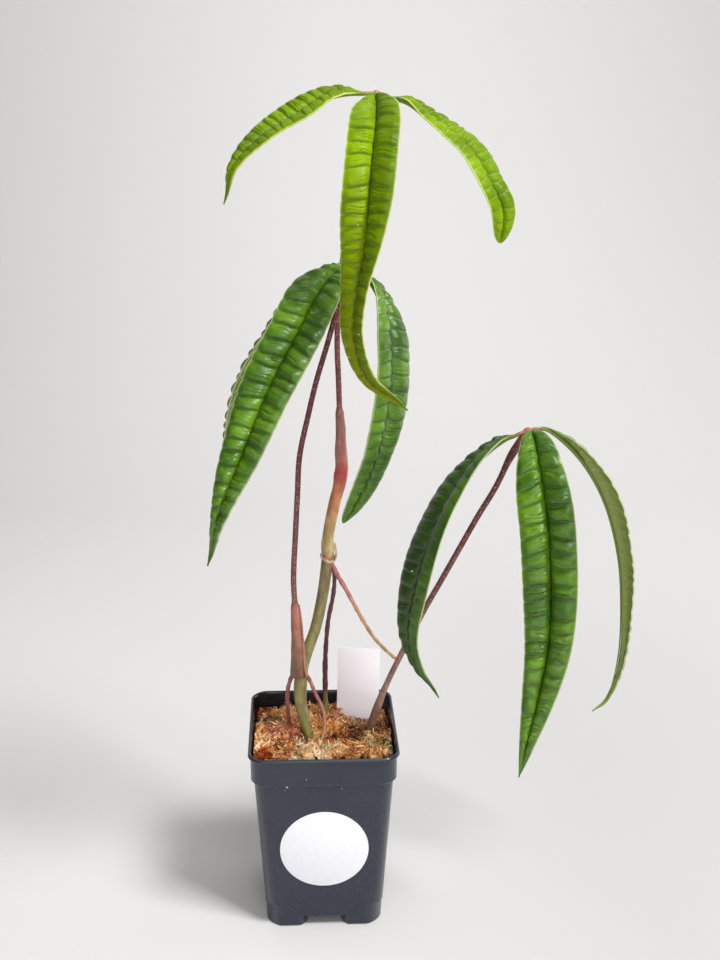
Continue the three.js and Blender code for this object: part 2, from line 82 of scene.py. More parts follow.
bpy.ops.object.camera_add(
    location=tuple(metres(CAMERA_PLACE)),
    rotation=[math.radians(angle) for angle in CAMERA_TURN],
)
camera = bpy.context.object
camera.name = "camera"
camera.data.lens = CAMERA_LENS
camera.data.sensor_width = CAMERA_SENSOR
bpy.context.scene.camera = camera
bpy.context.scene.view_settings.view_transform = "Standard"
print("camera lens:", camera.data.lens)

# %% [markdown]
# ## Selecting with care
# Operators in edit mode act on everything that is selected, and a fresh load leaves the measured nodes
# selected. So each piece starts from an empty selection, and one helper adds a primitive that way.

# %% Helpers for starting and finishing a piece
MERGE_DISTANCE = 0.00001
SOFT_EDGES = {"segments": 2, "limit_method": "ANGLE"}


def select_only(piece):
    """Leaves one piece selected and active."""
    bpy.ops.object.select_all(action="DESELECT")
    piece.select_set(True)
    bpy.context.view_layer.objects.active = piece


def start_piece(add_primitive, name, at=None, **settings):
    """Adds a primitive with nothing else selected, at a place in pot millimetres, and names it."""
    bpy.ops.object.select_all(action="DESELECT")
    if at is not None:
        settings["location"] = tuple(metres(at))
    add_primitive(**settings)
    piece = bpy.context.object
    piece.name = name
    piece.data.name = name
    return piece


def apply_place():
    bpy.ops.object.transform_apply(location=True, rotation=True, scale=True)


def finish_piece(piece, material, slot, *nodes, smooth_angle=40):
    """Gives a piece its finish, and ties it to the pot's body."""
    select_only(piece)
    apply_place()
    bpy.ops.object.shade_smooth_by_angle(angle=math.radians(smooth_angle))
    piece.data.materials.clear()
    piece.data.materials.append(material)
    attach(piece, "root")
    if nodes:
        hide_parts(*nodes)
    print(piece.name, "has", len(piece.data.polygons), "faces")


def apply_modifier(piece, kind, **settings):
    """Adds a modifier with its settings and applies it at once."""
    select_only(piece)
    modifier = piece.modifiers.new(kind.lower(), kind)
    for key, value in settings.items():
        setattr(modifier, key, value)
    bpy.ops.object.modifier_apply(modifier=modifier.name)


def join_pieces(pieces):
    """Joins pieces into the first one."""
    select_only(pieces[0])
    for piece in pieces:
        piece.select_set(True)
    bpy.ops.object.join()
    return pieces[0]


# %% Helpers for edit mode
def in_edit_mode(piece, *steps, where=None):
    """Runs edit-mode steps on all of a piece, or on its edges and vertices that lie somewhere."""
    mesh = piece.data
    if where:
        for vertex in mesh.vertices:
            vertex.select = where(vertex.co)
        for edge in mesh.edges:
            edge.select = all(mesh.vertices[v].select for v in edge.vertices)
        for face in mesh.polygons:
            face.select = False
    bpy.context.view_layer.objects.active = piece
    bpy.ops.object.mode_set(mode="EDIT")
    if not where:
        bpy.ops.mesh.select_all(action="SELECT")
    for step in steps:
        step()
    bpy.ops.object.mode_set(mode="OBJECT")


def pull(x=0, y=0, z=0):
    bpy.ops.mesh.extrude_region_move(TRANSFORM_OT_translate={"value": (x, y, z)})


def merge_doubles():
    bpy.ops.mesh.remove_doubles(threshold=MERGE_DISTANCE)


def turn_faces_out():
    bpy.ops.mesh.select_all(action="SELECT")
    bpy.ops.mesh.normals_make_consistent(inside=False)


# %% [markdown]
# ## A pale sweep and soft light
# The plant stands on a pale table that runs up into the wall behind it, as on a photographer's paper sweep.
# A plane with its back edge pulled up and rounded gives that. The main light is high on the right, so the
# shadow falls softly to the left. Weak panels above, in front and at the side put a sheen on every puffed
# field of a blade, and one more brightens the wall.

# %% Helpers for materials
def paint(code):
    """A colour written as six hex digits, in the linear values that shaders use, by the sRGB curve."""
    values = [int(code[i : i + 2], 16) / 255 for i in (0, 2, 4)]
    linear = [v / 12.92 if v <= 0.04045 else ((v + 0.055) / 1.055) ** 2.4 for v in values]
    return (*linear, 1.0)


def new_material(name, roughness, gloss=0.5):
    """A material, its node tree and its shader."""
    material = bpy.data.materials.new(name)
    material.use_nodes = True
    tree = material.node_tree
    shader = tree.nodes["Principled BSDF"]
    shader.inputs["Roughness"].default_value = roughness
    shader.inputs["Specular IOR Level"].default_value = gloss
    return material, tree, shader


def add_node(tree, kind, inputs=(), **settings):
    """Adds a node, sets its fields, then sets or links its inputs."""
    node = tree.nodes.new("ShaderNode" + kind)
    for key, value in settings.items():
        setattr(node, key, value)
    for socket, value in dict(inputs).items():
        if isinstance(value, bpy.types.NodeSocket):
            tree.links.new(value, node.inputs[socket])
        else:
            node.inputs[socket].default_value = value
    return node


def object_place(tree, stretch=(1, 1, 1)):
    """Places on the object, where a stretch below 1 makes a pattern longer that way."""
    spot = add_node(tree, "TexCoord").outputs["Object"]
    return add_node(tree, "Mapping", {"Vector": spot, "Scale": stretch}).outputs["Vector"]


def place_noise(tree, scale, detail, stretch=(1, 1, 1)):
    """Noise fixed to the object, scale in ripples per metre."""
    inputs = {"Vector": object_place(tree, stretch), "Scale": scale, "Detail": detail}
    return add_node(tree, "TexNoise", inputs).outputs["Fac"]


def place_cells(tree, scale, stretch=(1, 1, 1)):
    """Distances to the middles of cells that are fixed to the object."""
    inputs = {"Vector": object_place(tree, stretch), "Scale": scale}
    return add_node(tree, "TexVoronoi", inputs).outputs["Distance"]


def between(tree, value, low, high):
    """A value that runs from 0 at low to 1 at high."""
    inputs = {"Value": value, "From Min": low, "From Max": high}
    return add_node(tree, "MapRange", inputs, interpolation_type="SMOOTHSTEP").outputs["Result"]


def noise_patches(tree, scale, detail, low, high, stretch=(1, 1, 1)):
    """Soft patches where noise rises from low to high."""
    return between(tree, place_noise(tree, scale, detail, stretch), low, high)


def calculate(tree, operation, first, second=0.0):
    return add_node(tree, "Math", {0: first, 1: second}, operation=operation).outputs[0]


def blend_colours(tree, factor, first, second, kind="MIX"):
    """Two colours, given as sockets or hex digits, mixed by a factor."""
    first, second = [paint(colour) if isinstance(colour, str) else colour for colour in (first, second)]
    node = add_node(tree, "Mix", {0: factor, 6: first, 7: second}, data_type="RGBA", blend_type=kind)
    return node.outputs[2]


def reading(tree, name, output="Fac"):
    """A value stored on the mesh under a name."""
    return add_node(tree, "Attribute", attribute_name=name).outputs[output]


def bump(tree, shader, scale, detail, distance, strength=0.5, stretch=(1, 1, 1)):
    """Fine relief of noise, in the shading alone."""
    inputs = {"Height": place_noise(tree, scale, detail, stretch), "Distance": distance, "Strength": strength}
    node = add_node(tree, "Bump", inputs)
    tree.links.new(node.outputs["Normal"], shader.inputs["Normal"])


def colour_with(tree, shader, colour):
    tree.links.new(colour, shader.inputs["Base Color"])


def mottled_material(name, roughness, patches, codes, relief, gloss=0.5):
    """A material of two colours in patches, with relief, its tree, its shader and its colour so far."""
    material, tree, shader = new_material(name, roughness, gloss)
    colour = blend_colours(tree, noise_patches(tree, *patches), *codes)
    colour_with(tree, shader, colour)
    bump(tree, shader, *relief)
    return material, tree, shader, colour


# %% Table and wall in one sweep
SWEEP_HALF = 1.6
SWEEP_BACK = 1.1
SWEEP_CURVE = 0.55
SWEEP_SINK = 0.0002
SWEEP_FOLD_TOP = 0.1
WALL_SHADE_SPAN = (0.0, 0.55)
TABLE_SHADE_SPAN = (-0.1, 0.12)
WALL_TO_TABLE = (1.1, 0.55)

sweep = start_piece(bpy.ops.mesh.primitive_plane_add, "paper_sweep", size=2 * SWEEP_HALF)
sweep.location = (0, SWEEP_BACK - SWEEP_HALF, -SWEEP_SINK)
in_edit_mode(
    sweep,
    lambda: bpy.ops.mesh.select_mode(type="EDGE"),
    lambda: pull(z=2 * SWEEP_HALF),
    where=lambda place: place.y > 0,
)
in_edit_mode(
    sweep,
    lambda: bpy.ops.mesh.bevel(offset=SWEEP_CURVE, segments=24, affect="EDGES"),
    where=lambda place: place.y > 0 and place.z < SWEEP_FOLD_TOP,
)
bpy.ops.object.shade_smooth()

# Painted shade: the paper is painted darker away from the middle of the wall, and towards the right on the
# table in front.
sweep_paper, tree, shader = new_material("sweep paper", roughness=0.9, gloss=0.1)
spot = add_node(tree, "SeparateXYZ", {0: object_place(tree)}).outputs
wall_shade = between(tree, calculate(tree, "ABSOLUTE", spot["X"]), *WALL_SHADE_SPAN)
table_shade = between(tree, spot["X"], *TABLE_SHADE_SPAN)
near = between(tree, spot["Y"], *WALL_TO_TABLE)
shaded = add_node(tree, "Mix", {0: near, 2: wall_shade, 3: table_shade}).outputs[0]
colour_with(tree, shader, blend_colours(tree, shaded, "dedddc", "cbcac9"))
sweep.data.materials.append(sweep_paper)
print("sweep faces:", len(sweep.data.polygons))

# %% Lights and the room
# Each square panel has a place and a target in pot millimetres, a width in metres and a power in watts.
PANELS = {
    "key_panel": ((1212, -970, 2235), (0, 0, 150), 0.75, 63),
    "top_panel": ((250, -520, 1150), (10, 0, 220), 0.5, 1.6),
    "front_panel": ((-150, -950, 560), (0, 0, 120), 0.8, 2.5),
    "low_panel": ((120, -880, 330), (70, 0, 170), 0.5, 1.2),
    "side_panel": ((900, 350, 250), (0, 0, 180), 0.6, 2.3),
    "wall_panel": ((-400, 700, 1400), (-200, 1300, 700), 0.9, 2.6),
}
ROOM_STRENGTH = 0.15

for name, (place, target, size, power) in PANELS.items():
    bpy.ops.object.light_add(type="AREA", location=tuple(metres(place)))
    panel = bpy.context.object
    panel.name = name
    panel.data.size = size
    panel.data.energy = power
    look = metres(target) - metres(place)
    level = math.hypot(look[0], look[1])
    panel.rotation_euler = (math.atan2(level, -look[2]), 0, math.atan2(look[1], look[0]) - math.pi / 2)

world = bpy.data.worlds.new("soft_room")
world.use_nodes = True
room = world.node_tree.nodes["Background"].inputs
room["Color"].default_value = paint("f2f2f2")
room["Strength"].default_value = ROOM_STRENGTH
bpy.context.scene.world = world

# %% [markdown]
# ## Curves that grow like a plant
# Midribs, stalks and roots follow smooth lines through a few places. A curve that is measured by its length
# lets a later step ask for the spot a third of the way along, and for the way it points there.

# %% Smooth paths
def smooth_path(points, per_span=40):
    """Places closely spaced on a curve through the points, and how far along each one is."""
    knots = np.asarray(points, dtype=float)
    knots = np.vstack([2 * knots[0] - knots[1], knots, 2 * knots[-1] - knots[-2]])
    t = np.linspace(0, 1, per_span, endpoint=False)[:, None]
    spans = []
    for before, start, end, after in zip(knots, knots[1:], knots[2:], knots[3:]):
        linear = 0.5 * (end - before)
        square = 0.5 * (2 * before - 5 * start + 4 * end - after)
        cube = 0.5 * (3 * start - before - 3 * end + after)
        spans.append(start + t * linear + t**2 * square + t**3 * cube)
    places = np.vstack([*spans, knots[-2:-1]])
    steps = np.linalg.norm(np.diff(places, axis=0), axis=1)
    return places, np.concatenate([[0], np.cumsum(steps)])


def unit(vectors):
    return vectors / np.linalg.norm(vectors, axis=-1, keepdims=True)


def on_path(path, share):
    """Places at a share of the path's length."""
    places, reach = path
    distance = np.clip(share, 0, 1) * reach[-1]
    return np.stack([np.interp(distance, reach, places[:, k]) for k in range(3)], axis=-1)


def heading_on(path, share, step=0.004):
    """Directions in which the path runs at a share of its length."""
    return unit(on_path(path, share + step) - on_path(path, share - step))


def ease(value, low, high):
    """A soft step from 0 at low to 1 at high."""
    t = np.clip((value - low) / (high - low), 0, 1)
    return t * t * (3 - 2 * t)


def along(pairs, share):
    """Values at shares of the way along, eased between [share, value] pairs."""
    shares = np.array([pair[0] for pair in pairs], dtype=float)
    values = np.array([pair[1] for pair in pairs], dtype=float)
    first = np.clip(np.searchsorted(shares, share, side="right") - 1, 0, len(pairs) - 2)
    t = ease(share, shares[first], shares[first + 1])
    if values.ndim > 1:
        t = t[..., None]
    return values[first] + (values[first + 1] - values[first]) * t


def evenly(values):
    """A plain list as pairs with equal steps between them."""
    return [[i / (len(values) - 1), value] for i, value in enumerate(values)]


def read_points(mesh):
    points = np.empty(3 * len(mesh.vertices))
    mesh.vertices.foreach_get("co", points)
    return points.reshape(-1, 3)


def write_points(mesh, points):
    mesh.vertices.foreach_set("co", np.asarray(points, dtype=float).ravel())
    mesh.update()


def store(mesh, name, values):
    """Keeps a value, or a colour, at each vertex for the materials."""
    values = np.asarray(values, dtype=float)
    if values.ndim == 1:
        mesh.attributes.new(name, "FLOAT", "POINT").data.foreach_set("value", values)
    else:
        full = np.ones((len(values), 4))
        full[:, :3] = values[:, :3]
        mesh.attributes.new(name, "FLOAT_COLOR", "POINT").data.foreach_set("color", full.ravel())


# %% [markdown]
# ## Tubes from a grid
# A stalk could be a bevelled curve, but it swells at its joints and widens into a sheath, so every ring needs
# its own radius. A grid primitive is rolled up instead: across it runs round the stalk, along it runs up the
# stalk. The two edges meet and are merged, and the first and last rings close to a point as a round end.

# %% Roll a grid into a stalk
END_ROWS = 4
THICK_SPAN = (1.3, 2.2)


def start_grid(name, columns, rows):
    """A grid from -1 to 1 both ways, and the places of its vertices."""
    grid = start_piece(
        bpy.ops.mesh.primitive_grid_add, name, x_subdivisions=columns, y_subdivisions=rows, size=2
    )
    return grid, read_points(grid.data)


def ring_frames(path, shares):
    """Two directions square to the path at each share, turned as little as possible from one to the next."""
    headings = heading_on(path, shares)
    side = np.array([1.0, 0.0, 0.0])
    sides = []
    for heading in headings:
        side = unit(side - heading * side.dot(heading))
        sides.append(side)
    sides = np.array(sides)
    return sides, np.cross(headings, sides)


def roll_tube(name, points, radii, sides=20, rows=90, tints=None, swell=None, round_ends=0.6):
    """A closed tube along points in pot millimetres, its radius from [share, radius] pairs."""
    all_rows = rows + 2 * END_ROWS
    tube, flat = start_grid(name, sides, all_rows)
    path = smooth_path(points)
    margin = round_ends * radii[0][1] / path[1][-1]
    shares = margin + np.linspace(0, 1, rows + 1) * (1 - 2 * margin)
    row = np.rint((flat[:, 1] + 1) / 2 * all_rows).astype(int)
    ring = np.clip(row - END_ROWS, 0, rows)
    turn = (flat[:, 0] + 1) * math.pi
    side, front = ring_frames(path, shares)
    radius = along(radii, shares[ring])
    if swell:
        radius = radius * swell(shares[ring], turn)
    closing = np.minimum(np.minimum(row, all_rows - row), END_ROWS) / END_ROWS * math.pi / 2
    outward = np.where(row < END_ROWS, -1, np.where(row > END_ROWS + rows, 1, 0))
    cap = outward * np.cos(closing) * round_ends * radius
    spoke = side[ring] * np.cos(turn)[:, None] + front[ring] * np.sin(turn)[:, None]
    spots = on_path(path, shares[ring]) + spoke * (radius * np.sin(closing))[:, None]
    spots = spots + heading_on(path, shares[ring]) * cap[:, None]
    write_points(tube.data, metres(spots))
    store(tube.data, "thick", ease(radius, *THICK_SPAN))
    if tints:
        colours = [[place, paint(code)[:3]] for place, code in tints]
        store(tube.data, "tint", along(colours, shares[ring]))
    in_edit_mode(tube, merge_doubles, turn_faces_out)
    return tube


# %% [markdown]
# ## Leaf materials
# A young blade is yellow-green, an older one deep green and waxy. Sunken veins show as fine pale lines, the
# margin is cream and the underside paler. Each of these is stored on the mesh while it is shaped, so the
# material only looks it up, and the pattern fits every blade.
# Shade is painted on the blades too: darker in the crease along each vein, and on halves or whole leaflets
# turned from the light.

# %% Leaf material
LEAF_ROUGHNESS = 0.37
LEAF_PATCHES = (70, 4, 0.35, 0.65)
LEAF_RELIEF = (1500, 3, 0.00014)
SCALE_DOTS = 260
SKIN_DEPTH = (0.001, 0.002, 0.0003)


def leaf_material(name, codes, marks, gloss):
    """Mottled green, the marks stored on the blade in turn, and a few pale dots."""
    material, tree, shader, colour = mottled_material(
        name, LEAF_ROUGHNESS, LEAF_PATCHES, codes, LEAF_RELIEF, gloss
    )
    for mark, code in marks.items():
        colour = blend_colours(tree, reading(tree, mark), colour, code)
    dots = between(tree, place_cells(tree, SCALE_DOTS), 0.1, 0.06)
    rare = noise_patches(tree, 160, 1, 0.6, 0.64)
    colour_with(tree, shader, blend_colours(tree, calculate(tree, "MULTIPLY", dots, rare), colour, "e4ecd2"))
    shader.inputs["Subsurface Weight"].default_value = 0.05
    shader.inputs["Subsurface Radius"].default_value = SKIN_DEPTH
    return material


NEW_MARKS = {
    "late": "7c8606", "shade": "3d5a02", "crease_shade": "3d5a02", "under": "8c9c3c", "vein": "b9cf58",
    "margin": "dfe98e", "stalk": "9a8a50",
}
OLD_MARKS = {
    "late": "567c24", "shade": "16300a", "crease_shade": "16300a", "under": "8a9848", "vein": "93b06c",
    "margin": "c4d096", "stalk": "9c5648",
}
new_leaf = leaf_material("new leaf", ("668600", "88aa02"), NEW_MARKS, gloss=0.13)
old_leaf = leaf_material("old leaf", ("3e660a", "628e16"), OLD_MARKS, gloss=0.46)
print("leaf materials:", new_leaf.name, "and", old_leaf.name)

# %% [markdown]
# ## The blades
# Each leaf has three long leaflets that hang from one knob. A leaflet is folded along its midrib, each half
# arches, and between its side veins it is puffed into pillows with finer wrinkles. Drawing every pillow by
# hand would take days, so a grid is laid along the midrib and a formula raises each vertex. A seeded draw
# spaces the veins, because no two real pillows are alike.

# %% Sizes that all leaflets share
HALF_ARCH = 1.5
VEIN_SLANT = math.tan(math.radians(14))
STALK_LENGTH = 4.0
BLADE_THICKNESS = 0.45
TIP_SHARE = 0.62
ROWS_PER_PILLOW = 16
COLUMNS = 44
OPEN_SPAN = (0.9, 4)
CREASE_SHADE_SHOWS = 0.66
MARGIN_SPAN = (0.45, 0.15)
MARGIN_SHOWS = 0.7

KNOB_TOP = (21, -5, 351)
KNOB_MIDDLE = (12, -11, 287)
KNOB_RIGHT = (81, -20, 224)


def half_width(leaflet, s):
    """Half width of the blade at share s of its length."""
    foot = 1 - (1 - np.clip(s / leaflet["foot"], 0, 1)) ** leaflet["foot_curve"]
    tip = np.sin(np.clip((1 - s) / TIP_SHARE, 0, 1) * math.pi / 2) ** leaflet["bluntness"]
    return np.maximum(leaflet["half_width"] * foot * tip, 0.9 - 0.6 * s)


def blade_frame(leaflet, path, share):
    """Place, side and upward direction of the blade at a share of the midrib."""
    heading = heading_on(path, share)
    start = math.radians(leaflet["sets_out"])
    level = np.array([math.sin(start), -math.cos(start), 0.0])
    side = unit(level - heading * (heading @ level)[..., None])
    up = np.cross(side, heading)
    turn = np.radians(along(evenly(leaflet["rolls"]), share))[..., None]
    side = side * np.cos(turn) + up * np.sin(turn)
    return on_path(path, share), side, np.cross(side, heading)


# %% Pillows between the veins
VEIN_SHIFT = 0.2
PILLOW_HEIGHTS = (0.72, 1.12)
WRINKLES = 3
WRINKLE_FROM = (0.2, 0.42, 0.62)
WRINKLE_TO = (0.36, 0.58, 0.8)
WRINKLE_DEPTH = 0.34
WRINKLE_ENDS = (0.25, 0.95)
WRINKLE_WIDTH = 0.06
VEIN_WAVES = ((0.06, 4, 40), (0.016, 13, 90))
VEIN_WIDTH = 0.3
CREASE_SHADE_WIDTH = 0.45


def bell(value, width):
    """One at 0, and soon nothing beyond a width."""
    return np.exp(-((value / width) ** 2))


def bulge(part):
    """One in the middle of a span from 0 to 1, and 0 at its ends."""
    return (1 - np.abs(2 * part - 1) ** 2.2) ** 0.75


def pillows(count, s, across, length, rng):
    """Height share of one half of a blade, its painted crease shade and its veins, at shares s and across."""
    veins = (np.arange(count + 1) + rng.uniform(-VEIN_SHIFT, VEIN_SHIFT, count + 1)) / count
    veins[0] = 0
    veins[-1] = 1
    height = rng.uniform(*PILLOW_HEIGHTS, count)
    wrinkle_at = rng.uniform(WRINKLE_FROM, WRINKLE_TO, (count, WRINKLES))
    wrinkle_depth = rng.uniform(0.0, WRINKLE_DEPTH, (count, WRINKLES)) ** 1.4 * 2
    wrinkle_end = rng.uniform(*WRINKLE_ENDS, (count, WRINKLES))
    wave = sum(size / count * np.sin(over * across + up * s) for size, over, up in VEIN_WAVES)
    at = np.clip(s + wave, 0, 1)
    row = np.clip(np.searchsorted(veins, at, side="right") - 1, 0, count - 1)
    part = (at - veins[row]) / (veins[row + 1] - veins[row])
    gap = (veins[row + 1] - veins[row]) * length
    puff = bulge(part**1.7) * height[row]
    for k in range(WRINKLES):
        end = wrinkle_end[row, k]
        reach = ease(across, 0.04, 0.2) * (1 - ease(across, end, end + 0.25))
        ripple = wrinkle_at[row, k] + 0.04 * np.sin(7 * across + row)
        puff = puff - wrinkle_depth[row, k] * reach * bell(part - ripple, WRINKLE_WIDTH)
    wide = 0.5 * ease(across, 0.0, 0.08) + 0.5 * ease(across, 0.03, 0.3)
    wide = wide * (1 - 0.85 * ease(across, 0.78, 1.0))
    line = bell(np.minimum(part, 1 - part) * gap, VEIN_WIDTH) * ease(across, 0.02, 0.1)
    # Painted shade: the colour darkens at the low end of each pillow, in the crease by the next vein.
    crease_shade = bell((1 - part) * gap, CREASE_SHADE_WIDTH) * wide
    return puff * wide, crease_shade, line, part


# %% One leaflet
RIB_POINTS = 40
RIB_RADII = [[0, 0.75], [0.12, 0.8], [0.5, 0.55], [1, 0.2]]
# The midrib is painted half way to the dark shade colour: painted shade along it under the blade.
RIB_MARKS = {"under": 0.6, "shade": 0.5}


def grow_leaflet(name, leaflet, seed):
    """A blade with its midrib and short stalk, in place of the measured leaflet."""
    rng = np.random.default_rng(seed)
    path = smooth_path(leaflet["spine"])
    length = path[1][-1]
    stalk = STALK_LENGTH / length
    blade, flat = start_grid(name, COLUMNS, leaflet["pillows"] * ROWS_PER_PILLOW)
    outwards = np.abs(flat[:, 0]) ** 1.25
    across = np.sin(outwards * math.pi / 2) * 0.4 + outwards * 0.6
    hand = np.sign(flat[:, 0])
    s = (flat[:, 1] + 1) / 2

    width = half_width(leaflet, s)
    opened = ease(width, *OPEN_SPAN)
    halves = [pillows(leaflet["pillows"], s, across, length * (1 - stalk), rng) for _ in range(2)]
    puff, crease_shade, line, part = [np.where(hand < 0, left, right) for left, right in zip(*halves)]
    width = width * (1 + leaflet["scallop"] * across**3 * (bulge(part) - 0.6) * opened)
    out = across * width
    share = stalk + (1 - stalk) * s
    share = np.minimum(share + out * VEIN_SLANT * opened / length * (1 - s), 1)
    place, side, up = blade_frame(leaflet, path, share)
    fold = np.radians(leaflet["fold"]) * opened
    arch = np.sin(math.pi * across**0.75)
    puffed = np.where(hand > 0, *[along(evenly(heights), s) for heights in leaflet["puffs"]])
    rise = (HALF_ARCH * arch + puffed * puff) * opened
    facing = unit(up - side * (hand * np.tan(fold))[:, None])
    spots = place + side * (hand * out * np.cos(fold))[:, None] + up * (out * np.sin(fold))[:, None]
    write_points(blade.data, metres(spots + facing * rise[:, None]))

    # The shade mark is painted shade: one half of a blade, or all of it, darker where it is turned from the
    # light.
    marks = {
        "vein": line * leaflet["vein_shows"] * opened,
        "crease_shade": crease_shade * CREASE_SHADE_SHOWS * opened,
        "margin": ease(out, width - MARGIN_SPAN[0], width - MARGIN_SPAN[1]) * MARGIN_SHOWS * opened,
        "late": along(evenly(leaflet["late"]), s),
        "shade": np.where(hand > 0, *leaflet["shades"]),
    }
    for mark, values in marks.items():
        store(blade.data, mark, values)
    top_side = len(blade.data.vertices)
    apply_modifier(blade, "SOLIDIFY", thickness=BLADE_THICKNESS * MM, offset=-1)
    store(blade.data, "under", np.arange(len(blade.data.vertices)) >= top_side)

    rib_at = np.linspace(0, 1, RIB_POINTS)
    spot, _, up = blade_frame(leaflet, path, rib_at)
    radius = along(RIB_RADII, rib_at)
    low = (radius * 0.75 + 0.2) * ease(rib_at, stalk * 0.5, stalk * 1.8)
    rib = roll_tube(name + "_rib", spot - up * low[:, None], evenly(list(radius)), sides=10, rows=110)
    for mark, amount in RIB_MARKS.items():
        store(rib.data, mark, np.full(len(rib.data.vertices), amount))
    from_knob = np.linalg.norm(read_points(rib.data) - metres(leaflet["spine"][0]), axis=1) / MM
    store(rib.data, "stalk", 1 - ease(from_knob, STALK_LENGTH, 2.2 * STALK_LENGTH))
    return join_pieces([blade, rib])


# %% The leaflets of the three leaves
# shades give the painted shade of each half of a leaflet.
LEAFLETS = {
    "leaflet_top_middle": dict(
        spine=[
            KNOB_TOP, (20, -22, 348), (19, -37, 342), (17, -46, 328), (16, -49, 315), (15, -51, 300),
            (13, -52, 285), (12, -51, 269), (17, -49, 253), (31, -47, 240),
        ],
        sets_out=-90, rolls=[-10, -8, -56, -18], half_width=10, fold=22, pillows=30, foot=0.22,
        foot_curve=2.0, bluntness=0.9, late=[0, 0, 0.3, 0.8, 1],
        puffs=([1.2, 1.4, 1.3, 0.8], [1.2, 1.4, 1.1, 0.3]), shades=(0, 0.55), vein_shows=0.2, scallop=0.02,
    ),
    "leaflet_top_left": dict(
        spine=[
            KNOB_TOP, (12, -9, 352), (2, -13, 350), (-8, -17, 344), (-21, -21, 336), (-31, -25, 326),
            (-36, -27, 313),
        ],
        sets_out=210, rolls=[24, 16, 10, -8], half_width=8.2, fold=17, pillows=18, foot=0.4, foot_curve=1.6,
        bluntness=0.9, late=[0.2, 0, 0, 0.3], puffs=([0.9, 1.2, 1, 0.3], [0.5, 0.8, 0.6, 0.2]),
        shades=(0.22, 0.42), vein_shows=0.3, scallop=0,
    ),
    "leaflet_top_right": dict(
        spine=[
            KNOB_TOP, (32, -9, 349), (40, -13, 343), (48, -17, 337), (56, -20, 330), (62, -23, 320),
            (67, -24, 310), (67, -22, 298),
        ],
        sets_out=-40, rolls=[16, 1, -5, -45], half_width=8.5, fold=10, pillows=17, foot=0.4, foot_curve=1.6,
        bluntness=0.5, late=[0.2, 0, 0, 0], puffs=[[0.5, 0.9, 0.8, 0.3]] * 2,
        shades=(0.05, 0.25), vein_shows=0.3, scallop=0.02,
    ),
    "leaflet_mid_front": dict(
        spine=[
            KNOB_MIDDLE, (6, -22, 287), (-2, -33, 280), (-10, -40, 266), (-20, -46, 248), (-28, -51, 229),
            (-36, -54, 209), (-44, -56, 183),
        ],
        sets_out=245, rolls=[4, 8, 0, -28], half_width=11, fold=18, pillows=24, foot=0.2, foot_curve=2.0,
        bluntness=0.9, late=[0.1, 0, 0, 0.2], puffs=[[1.4, 1.7, 1.6, 0.9]] * 2,
        shades=(0, 0.28), vein_shows=0.2, scallop=0.03,
    ),
    "leaflet_mid_right": dict(
        spine=[
            KNOB_MIDDLE, (19, -18, 283), (23, -24, 275), (25, -29, 263), (25, -32, 246), (22, -32, 226),
            (16, -29, 206), (8, -25, 188),
        ],
        sets_out=-50, rolls=[35, 10, 0, -25], half_width=10, fold=12, pillows=20, foot=0.3, foot_curve=1.8,
        bluntness=0.6, late=[0, 0, 0.2, 0], puffs=([0.7, 1, 1, 0.6], [0.7, 1.1, 1.1, 0.6]),
        shades=(0.12, 0.34), vein_shows=0.3, scallop=0.02,
    ),
    "leaflet_mid_back": dict(
        spine=[
            KNOB_MIDDLE, (4, -5, 285), (-8, 2, 274), (-19, 7, 257), (-30, 10, 238), (-36, 12, 218),
            (-38, 12, 201), (-37, 11, 185),
        ],
        sets_out=170, rolls=[0, 0, 0, 0], half_width=10.5, fold=18, pillows=22, foot=0.2, foot_curve=2.0,
        bluntness=0.9, late=[0, 0, 0.1, 0.2], puffs=[[1.2, 1.4, 1.2, 0.6]] * 2,
        shades=(0.5, 0.5), vein_shows=0.3, scallop=0.06,
    ),
    "leaflet_right_middle": dict(
        spine=[
            KNOB_RIGHT, (81, -34, 225), (82, -45, 217), (85, -51, 196), (87, -53, 170), (87, -54, 147),
            (84, -54, 124), (78, -52, 88),
        ],
        sets_out=-110, rolls=[-13, 1, 0, -5], half_width=11.2, fold=16, pillows=25, foot=0.26,
        foot_curve=2.2, bluntness=0.9, late=[0, 0, 0, 0.2], puffs=([1.6, 2, 1.9, 1.2], [1.8, 2.3, 2.1, 1.2]),
        shades=(0, 0.26), vein_shows=0.25, scallop=0.02,
    ),
    "leaflet_right_left": dict(
        spine=[
            KNOB_RIGHT, (70, -25, 222), (57, -31, 212), (46, -36, 195), (38, -40, 174), (34, -41, 150),
            (37, -41, 135), (46, -40, 118),
        ],
        sets_out=205, rolls=[-20, -10, 4, 10], half_width=10.8, fold=10, pillows=23, foot=0.34,
        foot_curve=1.7, bluntness=0.9, late=[0, 0, 0, 0.3], puffs=([0.7, 1, 1, 0.5], [0.3, 0.45, 0.45, 0.3]),
        shades=(0.8, 0.5), vein_shows=0.06, scallop=0.025,
    ),
    "leaflet_right_right": dict(
        spine=[
            KNOB_RIGHT, (90, -17, 224), (105, -12, 210), (117, -8, 190), (125, -5, 165), (128, -4, 142),
            (128, -5, 119), (124, -7, 100), (117, -9, 94),
        ],
        sets_out=0, rolls=[34, 20, 2, -4, 0], half_width=9.2, fold=24, pillows=26, foot=0.4, foot_curve=1.6,
        bluntness=0.9, late=[0, 0.1, 0.2, 0.3], puffs=[[0.6, 0.8, 0.8, 0.5]] * 2,
        shades=(0.1, 0.1), vein_shows=0.8, scallop=0.06,
    ),
}

for seed, (name, leaflet) in enumerate(LEAFLETS.items(), start=11):
    look, slot = (new_leaf, "leaf_new") if name.startswith("leaflet_top") else (old_leaf, "leaf_old")
    finish_piece(grow_leaflet("fine_" + name, leaflet, seed), look, slot, name, smooth_angle=60)

